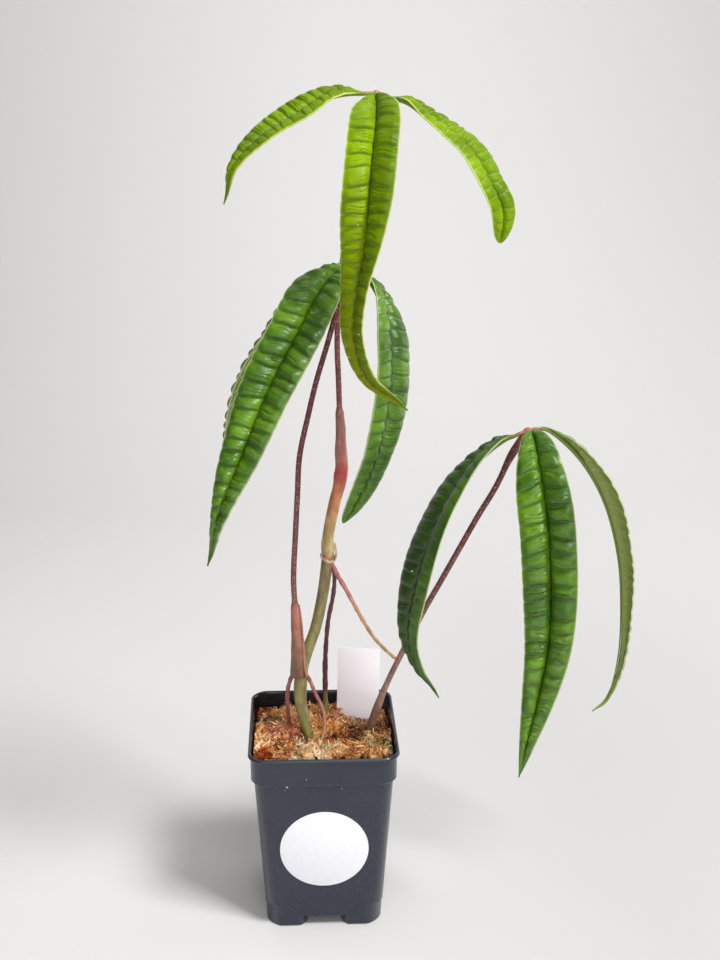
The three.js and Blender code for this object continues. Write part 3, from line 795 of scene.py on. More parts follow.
# %% [markdown]
# ## Stalk and stem finish
# The stalks are maroon and covered in tiny pale dashes. The stem is olive below and flushes orange and red
# towards its newest joint, and the roots run from pink to tan. One function makes all three materials: the
# colour along each piece is stored on its mesh, and the dashes come from cells stretched along the stalk.

# %% Speckled material
DASH_CELLS = 1400
DASH_STRETCH = (1, 1, 0.5)
DASH_SHOWS = 0.75


def speckled_material(name, speck, amount, mottle=0.45):
    """Reads its tint from the mesh, darkens it in patches and strews pale dashes on it."""
    material, tree, shader = new_material(name, roughness=0.45)
    tint = reading(tree, "tint", "Color")
    shade = blend_colours(tree, mottle, tint, "8c7468", "MULTIPLY")
    colour = blend_colours(tree, noise_patches(tree, 420, 3, 0.35, 0.7, (1, 1, 0.4)), shade, tint)
    dash = between(tree, place_cells(tree, DASH_CELLS, DASH_STRETCH), 0.38, 0.18)
    here = noise_patches(tree, 1300, 1, 0.6 - amount, 0.68 - amount)
    thin = calculate(tree, "SUBTRACT", 1.0, reading(tree, "thick"))
    for share in (calculate(tree, "MULTIPLY", here, DASH_SHOWS), between(tree, thin, -0.5, 1)):
        dash = calculate(tree, "MULTIPLY", dash, share)
    colour_with(tree, shader, blend_colours(tree, dash, colour, speck))
    bump(tree, shader, 1100, 3, 0.0001, stretch=(1, 1, 0.35))
    return material


stalk_skin = speckled_material("speckled stalk", "c59c8c", 0.22)
stem_skin = speckled_material("speckled stem", "d8b890", 0.16, mottle=0.5)
root_skin = speckled_material("root skin", "d8b094", -0.05, mottle=0.55)

# %% [markdown]
# ## The stem
# The stem leaves the moss at a slant, passes the foot of the middle stalk's sheath and climbs to a second
# joint with torn scale leaves and a third where the top stalk begins. It is one rolled tube with a slight
# swelling at each joint.

# %% Roll the stem
STEM = dict(
    points=[(-2, -9.5, 70), (-4.2, -7.5, 78), (-6.2, -5, 83), (-8, -2.5, 89), (-9.5, -1, 97), (-9.5, -1, 106),
            (-8, 0, 115), (-5.5, 1, 123), (-2.5, 2, 132), (0.5, 3, 147), (2.5, 4, 163), (2.5, 4, 170),
            (3.5, 4, 177), (5.5, 4, 187), (7.4, 4, 194.5), (8, 4, 199.3)],
    radii=[[0, 0.9], [0.06, 1.2], [0.1, 1.7], [0.15, 2.4], [0.2, 2.5], [0.29, 2.9], [0.35, 2.4], [0.6, 2.4],
           [0.72, 2.5], [0.75, 2.9], [0.79, 2.4], [0.94, 2.5], [1, 2.9]],
    tints=[[0, "8a8048"], [0.1, "8f9040"], [0.2, "a8a468"], [0.33, "a8a45e"], [0.45, "8c8650"],
           [0.7, "857650"], [0.74, "bfa878"], [0.78, "bca868"], [0.84, "c8a468"], [0.9, "cc8c5c"],
           [0.96, "cc7858"], [0.99, "c65850"]],
)

stem = roll_tube("fine_stem", **STEM, sides=28, rows=150, round_ends=0.1)
finish_piece(stem, stem_skin, "stem", "stem")

# %% [markdown]
# ## What is left at the joint
# Each joint of a climbing stem once carried a papery scale leaf. At the second joint its torn rim still
# clasps the stem, a small red bud sits in front and a dry point stands up at the right. The rim is an open
# cylinder whose edges are pulled up and down by a seeded draw, and it gets its thickness last.

# %% Torn rim, bud and dry point
JOINT = np.array([2.6, 4, 162.3])
RIM_RADIUS = 2.95
RIM_HEIGHT = 1.5
RIM_THICKNESS = 0.3
TORN_UP = 0.55
TORN_OUT = 0.7
BUD_PLACE = (1.7, 1.1, 162.9)
DRY_POINT = dict(
    points=[(4.6, 3, 160.8), (5.7, 3, 162.4), (6.1, 3.2, 164.6), (5.9, 3.4, 167), (5.5, 3.5, 169.8)],
    radii=[[0, 0.6], [0.3, 0.5], [0.6, 0.3], [1, 0.1]],
    tints=[[0, "c99078"], [0.5, "b39a74"], [1, "9a8262"]],
)


def tint_whole(piece, code):
    """Gives all of a piece one tint."""
    store(piece.data, "tint", np.tile(paint(code)[:3], (len(piece.data.vertices), 1)))


def tinted_ball(name, at, radius, code, **settings):
    """A round lump with one tint."""
    ball = start_piece(bpy.ops.mesh.primitive_ico_sphere_add, name, at, radius=radius * MM, **settings)
    apply_place()
    tint_whole(ball, code)
    return ball


rng = np.random.default_rng(3)
rim = start_piece(
    bpy.ops.mesh.primitive_cylinder_add, "joint_remains", JOINT, vertices=40, radius=RIM_RADIUS * MM,
    depth=RIM_HEIGHT * MM, end_fill_type="NOTHING", rotation=(math.radians(12), math.radians(24), 0),
)
apply_place()
spots = read_points(rim.data)
upwards = rng.uniform(-1, 1, len(spots))[:, None] * (0, 0, TORN_UP * MM)
away = unit((spots - metres(JOINT)) * (1, 1, 0))
outwards = away * (rng.uniform(0, TORN_OUT, len(spots)) * MM)[:, None]
write_points(rim.data, spots + upwards + outwards)
apply_modifier(rim, "SOLIDIFY", thickness=RIM_THICKNESS * MM, offset=1)
apply_modifier(rim, "SUBSURF", levels=1, render_levels=1)
tint_whole(rim, "e8c8b0")
bud = tinted_ball("joint_bud", BUD_PLACE, 1, "d0583a", subdivisions=3, scale=(0.95, 0.7, 0.8))
point = roll_tube("joint_point", **DRY_POINT, sides=10, rows=24)
finish_piece(join_pieces([rim, bud, point]), stem_skin, "stem")

# %% [markdown]
# ## The leaf stalks
# Each stalk starts wide, as a sheath, narrows to an even rod and swells a little under the knob that carries
# the leaflets. The middle stalk's sheath is open on its right, so a thin tube follows its free edge there.

# %% Roll the stalks and their knobs
PETIOLES = {
    "petiole_top": dict(
        points=[
            (8, 4, 198.8), (8.4, 4, 203), (8, 4, 210), (8, 4, 218), (7.5, 3.5, 226), (7, 3, 241),
            (6.5, 2, 254), (7, 1, 272), (9.5, -1, 296), (13, -2.5, 319), (17, -4, 338), KNOB_TOP,
        ],
        radii=[
            [0, 3.1], [0.008, 2.75], [0.05, 2.6], [0.12, 2.1], [0.17, 1.8], [0.195, 1.15], [0.9, 1.15],
            [1, 1.5],
        ],
        tints=[
            [0, "cc4f4c"], [0.012, "c8504c"], [0.05, "b8706a"], [0.12, "a86e6a"], [0.17, "9a625e"],
            [0.2, "86484c"], [0.6, "7c3f42"], [0.9, "7a3c3c"], [1, "9a5a4a"],
        ],
    ),
    "petiole_middle": dict(
        points=[
            (-10.3, -3.2, 110.8), (-10.3, -4, 116.5), (-10.3, -4, 123), (-10.8, -4, 132), (-11.5, -4, 143),
            (-12, -4, 157), (-11, -4, 176), (-10, -5, 194), (-9, -5.5, 210), (-5.5, -6.5, 227),
            (-2, -7.5, 242), (2, -9, 256), (6.5, -10, 272), KNOB_MIDDLE,
        ],
        radii=[[0, 3.65], [0.06, 3.2], [0.12, 2.5], [0.175, 1.95], [0.2, 1.2], [0.9, 1.1], [1, 1.5]],
        tints=[
            [0, "7a4f3e"], [0.02, "86604a"], [0.08, "94694f"], [0.13, "ac6f55"], [0.175, "b5776a"],
            [0.2, "8d5a54"], [0.3, "82484a"], [0.6, "742f3c"], [1, "6e2c34"],
        ],
    ),
    "petiole_right": dict(
        points=[
            (16, 4, 62), (18.5, 2, 72), (21, 0, 83), (24, -2, 95), (29.5, -4, 111), (41.5, -8, 140),
            (49.5, -10, 157), (56.5, -12, 172), (63, -14, 186), (70, -16, 200), (75, -18, 213), KNOB_RIGHT,
        ],
        radii=[[0, 1.8], [0.12, 2], [0.18, 1.8], [0.27, 1.25], [0.88, 1.2], [0.95, 1.7], [1, 1.8]],
        tints=[
            [0, "6a4a3a"], [0.15, "8c6a58"], [0.25, "9c7c6c"], [0.4, "9a6a62"], [0.6, "7c4648"],
            [0.85, "6c3438"], [0.95, "6a2e34"], [1, "b06a62"],
        ],
    ),
}
KNOB_TINTS = {"petiole_top": "b89878", "petiole_middle": "6a3436", "petiole_right": "c8766c"}
KNOB_SHOWS = 1.6
SHEATH_EDGE = dict(
    points=[(-9.8, -4.6, 144.5), (-9.1, -5.2, 140), (-8.5, -5.8, 132), (-8, -6.4, 122), (-7.6, -6.8, 116),
            (-6.9, -6.3, 111.4)],
    radii=[[0, 0.25], [0.3, 0.4], [1, 0.5]],
    tints=[[0, "b5776a"], [1, "bd7a68"]],
)

for name, stalk in PETIOLES.items():
    pieces = [
        roll_tube("fine_" + name, **stalk, rows=240, round_ends=0.15),
        tinted_ball(name + "_knob", stalk["points"][-1], KNOB_SHOWS, KNOB_TINTS[name], subdivisions=4),
    ]
    if name == "petiole_middle":
        pieces.append(roll_tube("sheath_edge", **SHEATH_EDGE, sides=8, rows=40))
    finish_piece(join_pieces(pieces), stalk_skin, "petiole", name)

# %% [markdown]
# ## Aerial roots
# Two roots leave the second joint: a long pink one that reaches out to the right and a dark one that drops
# straight into the moss. Two more leave under the sheath. All are thin tubes whose radius wanders a little.

# %% Roll the roots
ROOTS = {
    "root_long": dict(
        points=[
            (2.5, 4, 163), (4, 3.5, 160), (6.5, 2, 155), (10, 1, 149), (14, 1, 141), (18.5, 2, 132),
            (23, 4, 124), (28.5, 6, 117), (33, 8, 112),
        ],
        radii=[[0, 1.1], [0.5, 0.85], [0.95, 0.75], [1, 0.65]],
        tints=[
            [0, "a8706a"], [0.15, "b8706e"], [0.35, "d08a80"], [0.55, "e2b088"], [0.8, "e0b486"],
            [1, "c09a78"],
        ],
    ),
    "root_dark": dict(
        points=[
            (2.5, 4, 163), (4, 6.5, 159), (5.5, 9, 152), (5, 11, 142), (3, 13, 130), (2, 14, 119),
            (1.5, 15, 107), (1.5, 15, 97), (1.5, 15, 86), (1.5, 15, 74),
        ],
        radii=[[0, 0.9], [0.5, 1], [0.7, 1.2], [0.8, 1.1], [1, 1.1]],
        tints=[
            [0, "80504e"], [0.2, "6a3c44"], [0.7, "643840"], [0.76, "6a3034"], [0.8, "858a48"],
            [1, "94905a"],
        ],
    ),
    "root_left": dict(
        points=[
            (-9.5, -1, 109.4), (-12.7, -1.5, 110.2), (-14.7, -2, 105.4), (-15.3, -1.5, 99.7),
            (-15.1, 0, 93.6), (-14.7, 3, 86.1), (-13.5, 6, 74),
        ],
        radii=[[0, 0.9], [1, 0.85]], tints=[[0, "a86a64"], [0.5, "b3716a"], [1, "a05c54"]],
    ),
    "root_right": dict(
        points=[
            (-9.5, -1, 109.4), (-7.3, -3, 110.7), (-5.4, -5, 109), (-3.6, -7, 104.9), (-1.3, -9, 100.7),
            (0.3, -10.5, 96.6), (0.6, -12.5, 92.4), (0, -13.5, 88), (-1.2, -14.6, 84.6), (-2.5, -15, 76),
        ],
        radii=[[0, 0.9], [0.4, 0.75], [1, 0.62]],
        tints=[[0, "a0564e"], [0.3, "b0685c"], [0.5, "c4886e"], [0.75, "d0a080"], [1, "d4ac84"]],
    ),
}


def wobble(share, turn):
    """How a root's radius changes along it and round it."""
    return 1 + 0.08 * np.sin(61 * share) + 0.05 * np.sin(137 * share + turn)


for name, root in ROOTS.items():
    piece = roll_tube("fine_" + name, **root, sides=14, swell=wobble)
    finish_piece(piece, root_skin, "root_dark" if name == "root_dark" else "root", name)

# %% [markdown]
# ## The pot
# A square nursery pot is moulded from thin dark polypropylene: tapered walls, a wider band at the top and a
# small turned-out lip. A plane with rounded corners is pulled up step by step along the outside, turned
# inwards at the lip and pulled down again as the inner wall. Blocks then cut away the channels between the
# four feet and a ledge round them, but leave a boss in the middle, and cylinders cut the drain holes.

# %% Pull the pot's walls up from a rounded square
# Each step of the walls has a half width and a height.
BASE_HALF = 24.5
CORNER_RADIUS = 5
CORNER_PROFILE = 0.46
WALL_FOOT = 25.1
BAND_FOOT = 71.9
BAND_HALF = 30.9
WALL_STEPS = [
    (WALL_FOOT, 0.6), (29.53, BAND_FOOT), (BAND_HALF, 73.6), (BAND_HALF, 84.2), (31.8, 84.5), (32, 85),
    (31.8, 85.6), (31.4, 86), (30.9, 85.8), (30.6, 85.2), (30.3, 83.5), (29.9, 73.9), (28.6, 71.9),
    (24.6, 12.5),
]


def rounded_block(name, middle, half, corner, low, steps, **rounding):
    """A square with rounded corners, pulled up through its steps, in pot millimetres."""
    block = start_piece(bpy.ops.mesh.primitive_plane_add, name, (*middle, low), size=2 * half * MM)

    def raise_walls():
        bpy.ops.mesh.bevel(offset=corner * MM, affect="VERTICES", **rounding)
        now, level = half, low
        for next_half, next_level in steps:
            pull(z=(next_level - level) * MM)
            if next_half != now:
                scale = (next_half / now, next_half / now, 1)
                bpy.ops.transform.resize(value=scale, center_override=tuple(metres((*middle, next_level))))
            now, level = next_half, next_level

    in_edit_mode(block, raise_walls, turn_faces_out)
    return block


pot = rounded_block(
    "fine_pot", (0, 0), BASE_HALF, CORNER_RADIUS, 0, WALL_STEPS, segments=9, profile=CORNER_PROFILE
)
print("pot walls:", len(pot.data.polygons), "faces")

# %% Cut the feet and the drain holes
CHANNEL_HALF = 7.4
CHANNEL_HEIGHT = 5
FOOT_ROUNDING = 6
FOOT_CORNER = 12
FOOT_LEDGE = 11
FOOT_OUT = 25.45
CORE_HALF = 26
BOSS_HALF = 11
BOSS_CORNER = 3
SLAB_HALF = 35
CUTTER_LOW = -3
CUTTER_HIGH = 20
DRAIN_RADIUS = 3
DRAIN_DEPTH = 18
DRAIN_SPACING = 15


def cutter(name, middle, half, corner, low=CUTTER_LOW, high=CUTTER_HIGH):
    """A straight block that cuts, or that spares what it covers."""
    return rounded_block(name, middle, half, corner, low, [(half, high)], segments=10)


def cut_from(piece, other):
    """Takes another piece away from a piece, and removes that other one."""
    apply_modifier(piece, "BOOLEAN", operation="DIFFERENCE", object=other, solver="EXACT")
    bpy.data.objects.remove(other)


foot_middle = (FOOT_OUT + CHANNEL_HALF) / 2
foot_half = (FOOT_OUT - CHANNEL_HALF) / 2
channels = cutter("slab", (0, 0), SLAB_HALF, 1, -2, CHANNEL_HEIGHT)
for x, y in ((1, 1), (-1, 1), (-1, -1), (1, -1)):
    cut_from(channels, cutter("foot", (x * foot_middle, y * foot_middle), foot_half, FOOT_ROUNDING))
cut_from(channels, cutter("boss", (0, 0), BOSS_HALF, BOSS_CORNER))
cut_from(pot, channels)
surround = cutter("slab", (0, 0), SLAB_HALF, 1, -2, FOOT_LEDGE)
cut_from(surround, cutter("core", (0, 0), CORE_HALF, FOOT_CORNER))
cut_from(pot, surround)
for x, y in ((0, 0), (1, 0), (-1, 0), (0, 1), (0, -1)):
    drain = start_piece(
        bpy.ops.mesh.primitive_cylinder_add, "drain", (x * DRAIN_SPACING, y * DRAIN_SPACING, 6),
        vertices=24, radius=DRAIN_RADIUS * MM, depth=DRAIN_DEPTH * MM,
    )
    cut_from(pot, drain)
apply_modifier(pot, "BEVEL", width=0.25 * MM, **SOFT_EDGES, angle_limit=math.radians(15))
print("pot with channels:", len(pot.data.polygons), "faces")

# %% Pot plastic
# How far out the inner walls reach at each height; they are painted near black as painted shade inside the
# pot.
INNER_SHADE_LIMITS = [(0, 0), (11, 0), (12, 25.1), (71.9, 29.1), (73.9, 30.4), (84, 30.6), (86, 30.6)]
levels, limits = np.array(INNER_SHADE_LIMITS, dtype=float).T
spots = (read_points(pot.data) - POT_MIDDLE) / MM
reach = np.abs(spots[:, :2]).max(axis=1)
store(pot.data, "inside", reach < np.interp(spots[:, 2], levels, limits))

pot_plastic, tree, shader, colour = mottled_material(
    "pot plastic", 0.22, patches=(28, 4, 0.3, 0.7), codes=("242937", "2c313f"), relief=(700, 3, 0.00003, 0.3)
)
colour = blend_colours(tree, noise_patches(tree, 2600, 1, 0.68, 0.76), colour, "5d616e")
# Painted shade: the inside of the pot is painted near black.
colour_with(tree, shader, blend_colours(tree, reading(tree, "inside"), colour, "14161a"))
finish_piece(pot, pot_plastic, "pot", "pot", smooth_angle=30)

# %% Grains of grit on the front wall
# Each grain has its x and z on the wall and its radius.
GRIT = [(-15.7, 72.8, 0.45), (-7.5, 76.3, 0.22), (7.5, 70.9, 0.18), (-16.6, 70.5, 0.16)]
WALL_WIDENS = 4.43

grains = []
for x, z, radius in GRIT:
    wall = WALL_FOOT + WALL_WIDENS * z / BAND_FOOT if z < BAND_FOOT else BAND_HALF
    grains.append(start_piece(
        bpy.ops.mesh.primitive_ico_sphere_add, "grit", (x, -wall, z), subdivisions=2, radius=radius * MM,
        scale=(1, 0.5, 0.8),
    ))
grit_stone, tree, shader = new_material("grit", 0.7)
colour_with(tree, shader, blend_colours(tree, place_noise(tree, 3000, 2), "a8a8a8", "d0d0d0"))
finish_piece(join_pieces(grains), grit_stone, "pot")

# %% [markdown]
# ## Sticker and tag
# A round paper sticker sits on the leaning front wall, and a blank plastic tag stands in the moss behind the
# stem. Both are flat goods: a low cylinder laid against the wall, and a plane with rounded corners and a
# narrowed foot that is given its thickness at the end.

# %% Lay the sticker on the wall
STICKER_RADIUS = 19
STICKER_THICKNESS = 0.3
STICKER_HEIGHT = 40.4
STICKER_GAP = 0.02
WALL_SPREAD = 5.3
POT_HEIGHT = 86
WALL_LEAN = math.atan2(WALL_SPREAD, POT_HEIGHT)

wall = WALL_FOOT + WALL_SPREAD * STICKER_HEIGHT / POT_HEIGHT
out = STICKER_GAP + STICKER_THICKNESS / 2
sticker = start_piece(
    bpy.ops.mesh.primitive_cylinder_add, "fine_pot_sticker",
    (0, -wall - out * math.cos(WALL_LEAN), STICKER_HEIGHT - out * math.sin(WALL_LEAN)), vertices=128,
    radius=STICKER_RADIUS * MM, depth=STICKER_THICKNESS * MM, rotation=(math.pi / 2 + WALL_LEAN, 0, 0),
)
apply_modifier(sticker, "BEVEL", width=0.08 * MM, **SOFT_EDGES)
sticker_paper, *_ = mottled_material(
    "sticker paper", 0.55, patches=(900, 4, 0.3, 0.7), codes=("eeeef4", "f4f4f8"),
    relief=(4000, 2, 0.00001, 0.15),
)
finish_piece(sticker, sticker_paper, "sticker", "pot_sticker")

# %% Cut the tag
TAG_HALF = 9.5
TAG_LENGTH = 72
TAG_POINT = 14
TAG_NARROWS = 0.16
TAG_CORNER = 0.7
TAG_THICKNESS = 0.7
TAG_TOP = (17.1, 26, 109.4)
TAG_LEAN = 12
TAG_TURN = -8

tag = start_piece(bpy.ops.mesh.primitive_plane_add, "fine_plant_label", size=2)
for vertex in tag.data.vertices:
    level = 0 if vertex.co.y > 0 else TAG_POINT - TAG_LENGTH
    vertex.co = (vertex.co.x * TAG_HALF * MM, 0, level * MM)
in_edit_mode(
    tag,
    lambda: bpy.ops.mesh.select_mode(type="EDGE"),
    lambda: pull(z=-TAG_POINT * MM),
    lambda: bpy.ops.transform.resize(value=(TAG_NARROWS, 1, 1), center_override=(0, 0, 0)),
    lambda: bpy.ops.mesh.select_mode(type="VERT"),
    where=lambda place: place.z < -TAG_POINT * MM,
)
in_edit_mode(
    tag,
    lambda: bpy.ops.mesh.bevel(offset=TAG_CORNER * MM, segments=5, affect="VERTICES"),
    where=lambda place: place.z > -TAG_POINT * MM,
)
apply_modifier(tag, "SOLIDIFY", thickness=TAG_THICKNESS * MM, offset=0)
apply_modifier(tag, "BEVEL", width=0.1 * MM, **SOFT_EDGES)
tag.rotation_euler = (math.radians(-TAG_LEAN), 0, math.radians(TAG_TURN))
tag.location = metres(TAG_TOP)
tag_plastic, *_ = mottled_material(
    "tag plastic", 0.38, patches=(45, 2, 0.3, 0.7), codes=("f8f2fb", "fffaff"), relief=(1500, 2, 0.00002, 0.3)
)
finish_piece(tag, tag_plastic, "tag", "plant_label")

# %% [markdown]
# ## The moss
# Long-fibred moss is a loose heap of soft strands. Hair systems would not export, so a lumpy bed is shaped
# first, then a few short strands are modelled and copied over it some thousands of times, each with its own
# length, turn and shade. No copy has more than three dozen faces.

# %% Colours of the moss
# Each patch has its middle, its spread and its colours.
TAN_CODES = ["f0be84", "e0a868", "f6d29e", "ce9458", "b87c4c", "ecb67c"]
PATCHES = [
    ((-27, 8), 5, ["f4cc98", "e8b884", "f8dcb4"]),
    ((-28, -8), 6, ["f4cc98", "e8b878", "f8d8a8"]),
    ((-26, -24), 3.6, ["b05426", "98441e", "c46c3a"]),
    ((-27, 26), 3, ["b86a3a", "a25a2c", "c88048"]),
    ((-17, -4), 8, ["c07a66", "cc8a70", "b46a56", "cc8c6c"]),
    ((14, -8), 6, ["6e4a30", "84583a", "5a3a26", "a47850"]),
    ((25, 3), 8, ["6e4a30", "84583a", "5a3a26", "a47850"]),
    ((24, -15), 6, ["c8bc84", "d8c894", "a09858", "e0d0a4"]),
    ((-4, -24), 9, ["f2daa8", "e8c890", "f4e0b8"]),
    ((3, -12), 5, ["c4763a", "b86e38", "cc8a50"]),
    ((14, 12), 8, ["c89070", "b67c5a", "d8a888"]),
]


def palette(codes):
    return np.array([paint(code)[:3] for code in codes])


def nearness(x, y, middle, spread):
    """One in the middle, falling softly over a spread."""
    return np.exp(-((x - middle[0]) ** 2 + (y - middle[1]) ** 2) / spread**2)


def moss_tints(spots, rng):
    """A colour for each spot: mostly tan, and near the middle of a patch mostly that of the patch."""
    tints = palette(TAN_CODES)[rng.integers(len(TAN_CODES), size=len(spots))]
    for middle, spread, codes in PATCHES:
        picked = rng.uniform(size=len(spots)) < nearness(*spots.T, middle, spread) * 1.2
        tints[picked] = palette(codes)[rng.integers(len(codes), size=picked.sum())]
    return tints * rng.uniform(0.85, 1.15, (len(spots), 1))


# %% Shape the bed
# Mounds and heads have their count, the range of their radii and their rise. A hollow has its middle, its
# spread and its depth.
INNER_HALF = 30.0
BED_FRONT = 82.6
BED_BACK = 75.2
BED_CROWN = 1.4
BED_DEPTH = 3
BED_CELLS = 215
MOUNDS = (130, (3, 5.5), 0.62)
HEADS = (1100, (1.2, 2.8), 0.55)
HOLLOWS = [
    ((19, 13), 9, 2.8), ((-5, -10), 4.5, 3), ((1, -10), 6, 2), ((14, -9), 5, 1.8), ((-5, 4), 4, 1),
    ((22, 4), 5, 1.2),
]
# The moss is darker round one place on the right.
DARKER_PLACE = (25, 2)
DARKER_SPREAD = 11
DARKER_AMOUNT = 0.35
TOP_SPAN = (0.1, 0.8)
BED_SHADE = 0.8


def keep_inside(spots, half=29.6, corner=6.0):
    """Places pulled in to the rounded square that the walls leave."""
    beyond = np.maximum(np.abs(spots) - (half - corner), 0)
    distance = np.hypot(beyond[:, 0], beyond[:, 1])[:, None]
    share = np.minimum(1, corner / np.maximum(distance, 0.001))
    return np.sign(spots) * (np.minimum(np.abs(spots), half - corner) + beyond * share)


def pile_domes(x, y, count, radii, rise, rng):
    """Height of many overlapping frayed domes, how near each place is to a top, and their colour."""
    height = np.zeros(len(x))
    top = np.zeros(len(x))
    # Places that no dome covers keep a dark brown: painted shade in the gaps.
    colour = np.tile(paint("5a3a24")[:3], (len(x), 1))
    middles = rng.uniform(-INNER_HALF, INNER_HALF, (count, 2))
    tints = moss_tints(middles, rng)
    for middle, tint, radius in zip(middles, tints, rng.uniform(*radii, count)):
        close = np.flatnonzero((np.abs(x - middle[0]) < radius) & (np.abs(y - middle[1]) < radius))
        dx, dy = x[close] - middle[0], y[close] - middle[1]
        frayed = 1 + 0.22 * np.sin(6 * np.arctan2(dy, dx) + 9 * radius)
        dome = np.sqrt(np.clip(1 - (np.hypot(dx, dy) / radius * frayed) ** 2, 0, 1))
        higher = dome * rise * radius > height[close]
        height[close[higher]] = dome[higher] * rise * radius
        top[close[higher]] = dome[higher]
        colour[close[higher]] = tint
    return height, top, colour


bed, flat = start_grid("moss_bed", BED_CELLS, BED_CELLS)
rng = np.random.default_rng(17)
flat = flat[:, :2] * INNER_HALF
x, y = flat.T
surface = BED_FRONT + (BED_BACK - BED_FRONT) * (y + INNER_HALF) / (2 * INNER_HALF)
surface = surface + BED_CROWN * (1 - (np.hypot(x, y) / INNER_HALF) ** 2)
for middle, spread, drop in HOLLOWS:
    surface = surface - drop * nearness(x, y, middle, spread)
mound, mound_top, _ = pile_domes(x, y, *MOUNDS, rng)
height, head_top, tints = pile_domes(x, y, *HEADS, rng)
surface = surface + mound + height
write_points(bed.data, metres(np.column_stack([keep_inside(flat), surface])))
# Painted shade: the moss is darker low on each mound and at the rims of the heads, the bed darker still below
# the strands, and the strands take these colours.
depth_shade = 0.34 + 0.9 * ease(mound_top, *TOP_SPAN)
depth_shade = depth_shade * (1 - DARKER_AMOUNT * nearness(x, y, DARKER_PLACE, DARKER_SPREAD))
tints = tints * (depth_shade * (0.5 + 0.5 * ease(head_top, *TOP_SPAN)))[:, None]
store(bed.data, "tint", tints * BED_SHADE)
in_edit_mode(bed, merge_doubles, lambda: pull(z=-BED_DEPTH * MM), turn_faces_out)
order = np.lexsort((flat[:, 0].round(2), flat[:, 1].round(2)))
surface_table = surface[order].reshape(BED_CELLS + 1, BED_CELLS + 1)
tint_table = tints[order].reshape(BED_CELLS + 1, BED_CELLS + 1, 3)

moss_fibre, tree, shader = new_material("moss fibre", roughness=0.85, gloss=0.15)
tint = reading(tree, "tint", "Color")
damp_tint = blend_colours(tree, 0.6, tint, "b8885c", "MULTIPLY")
colour_with(tree, shader, blend_colours(tree, noise_patches(tree, 900, 4, 0.35, 0.65), damp_tint, tint))
bump(tree, shader, 2400, 4, 0.0004, 1.0)
finish_piece(bed, moss_fibre, "moss", "moss", smooth_angle=80)

# %% Model a few strands
SPRIG_WIDENINGS = (1.7, 0.7, 1.4, 0.75, 1.3, 0.5)
FLUFF_WIDENINGS = (1.6, 1, 0.6, 0.4)
STRAND_BEND = 0.8
SHAPES = 6


def model_strand(name, sides, widenings, rng):
    """A curved strand about one unit long, pulled from a ring: its centres, its rings and its faces."""
    strand = start_piece(
        bpy.ops.mesh.primitive_circle_add, name, vertices=sides, radius=0.3, fill_type="NGON",
        rotation=(0, math.pi / 2, 0), location=(-0.5, 0, 0),
    )
    bend = rng.uniform(-STRAND_BEND, STRAND_BEND, 2)

    def pull_rings():
        for step, wider in enumerate(widenings, start=1):
            slope = np.cos(step / len(widenings) * math.pi) * bend * 3 / len(widenings)
            pull(1 / len(widenings), *slope)
            bpy.ops.transform.resize(value=(1, wider, wider))

    in_edit_mode(strand, pull_rings, turn_faces_out)
    rings = read_points(strand.data).reshape(-1, sides, 3)
    centres = np.repeat(rings.mean(axis=1, keepdims=True), sides, axis=1)
    faces = [tuple(face.vertices) for face in strand.data.polygons]
    bpy.data.objects.remove(strand)
    return centres.reshape(-1, 3), (rings - centres).reshape(-1, 3), faces


rng = np.random.default_rng(5)
sprigs = [model_strand(f"sprig_{number}", 5, SPRIG_WIDENINGS, rng) for number in range(SHAPES)]
fluffs = [model_strand(f"fluff_{number}", 3, FLUFF_WIDENINGS, rng) for number in range(SHAPES)]
print("faces of a sprig:", len(sprigs[0][2]), "and of a bit of fluff:", len(fluffs[0][2]))


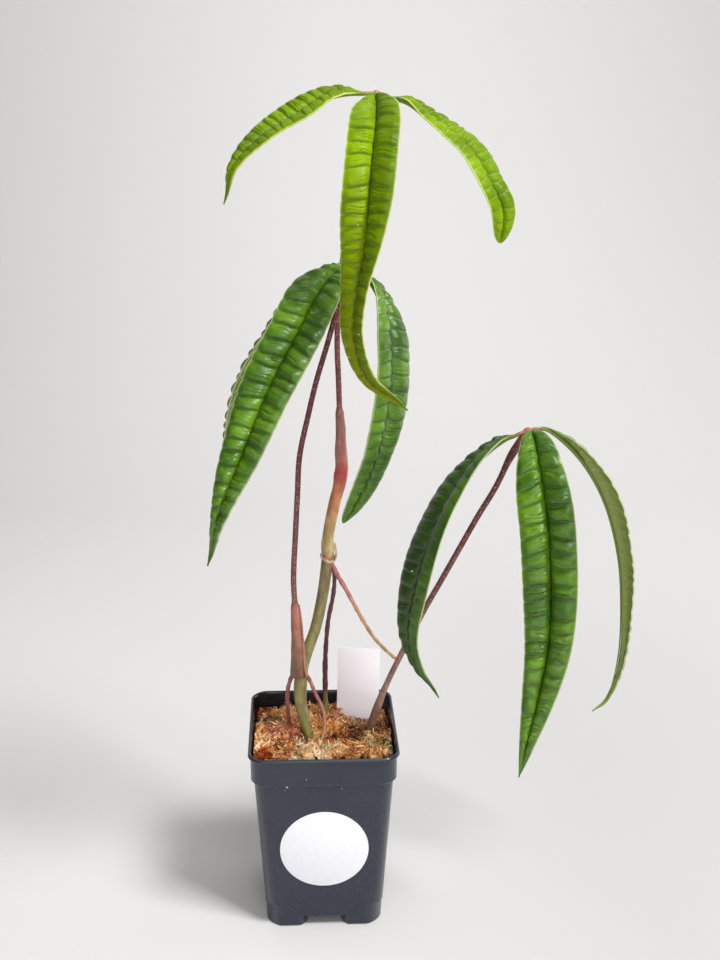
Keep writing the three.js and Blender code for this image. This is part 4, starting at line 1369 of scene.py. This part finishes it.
# %% Scatter strands over the bed
# Each kind of strand has its shapes, its count, and ranges of length, width and depth in millimetres; a tilt
# has its middle and its spread.
STREWN_HALF = 29
STRANDS = {
    "moss_fibres": dict(shapes=sprigs, count=120, lengths=(3, 5.5), widths=(0.35, 0.55), tilts=(0, 0.1),
                        sinks=(-0.3, 0.1)),
    "moss_sprigs": dict(shapes=sprigs, count=2900, lengths=(1.7, 3.2), widths=(0.45, 0.95), tilts=(0, 0.22),
                        sinks=(-0.6, 0)),
    "moss_fluff": dict(shapes=fluffs, count=7500, lengths=(0.8, 1.6), widths=(0.25, 0.5), tilts=(0, 0.35),
                       sinks=(-0.3, 0.1)),
}


def combed(x, y):
    """Direction in which the strands near a place lie."""
    return 2.4 * np.sin(0.31 * x + 1.1 * np.sin(0.23 * y)) + 2.1 * np.cos(0.27 * y + 0.9 * np.sin(0.29 * x))


def scatter(name, shapes, count, lengths, widths, tilts, sinks, rng):
    """One mesh of strands laid over the bed."""
    spots = rng.uniform(-STREWN_HALF, STREWN_HALF, (count, 2))
    cells = np.rint((spots / INNER_HALF + 1) / 2 * BED_CELLS).astype(int)
    points, faces, colours = [], [], []
    first = 0
    for (x, y), (column, row) in zip(spots, cells):
        centres, around, shape_faces = shapes[rng.integers(len(shapes))]
        heading = combed(x, y) + rng.normal(0, 1)
        tilt = rng.normal(*tilts)
        spin = rng.uniform(0, 2 * math.pi)
        east, north = math.cos(heading), math.sin(heading)
        ahead = np.array([east * math.cos(tilt), north * math.cos(tilt), math.sin(tilt)])
        level = np.array([-north, east, 0])
        side = level * math.cos(spin) + np.cross(ahead, level) * math.sin(spin)
        middle = np.array([x, y, surface_table[row, column] + rng.uniform(*sinks)])
        shape = centres * rng.uniform(*lengths) + around * rng.uniform(*widths)
        points.append(middle + shape @ np.array([ahead, side, np.cross(ahead, side)]))
        colours.append(np.tile(tint_table[row, column] * rng.uniform(0.7, 1.2), (len(shape), 1)))
        faces.extend(tuple(first + corner for corner in face) for face in shape_faces)
        first += len(shape)
    points = np.vstack(points)
    points[:, :2] = keep_inside(points[:, :2])
    mesh = bpy.data.meshes.new(name)
    mesh.from_pydata(metres(points).tolist(), [], faces)
    store(mesh, "tint", np.vstack(colours))
    piece = bpy.data.objects.new(name, mesh)
    bpy.context.collection.objects.link(piece)
    finish_piece(piece, moss_fibre, "moss", smooth_angle=80)


rng = np.random.default_rng(21)
for name, strands in STRANDS.items():
    scatter(name, **strands, rng=rng)
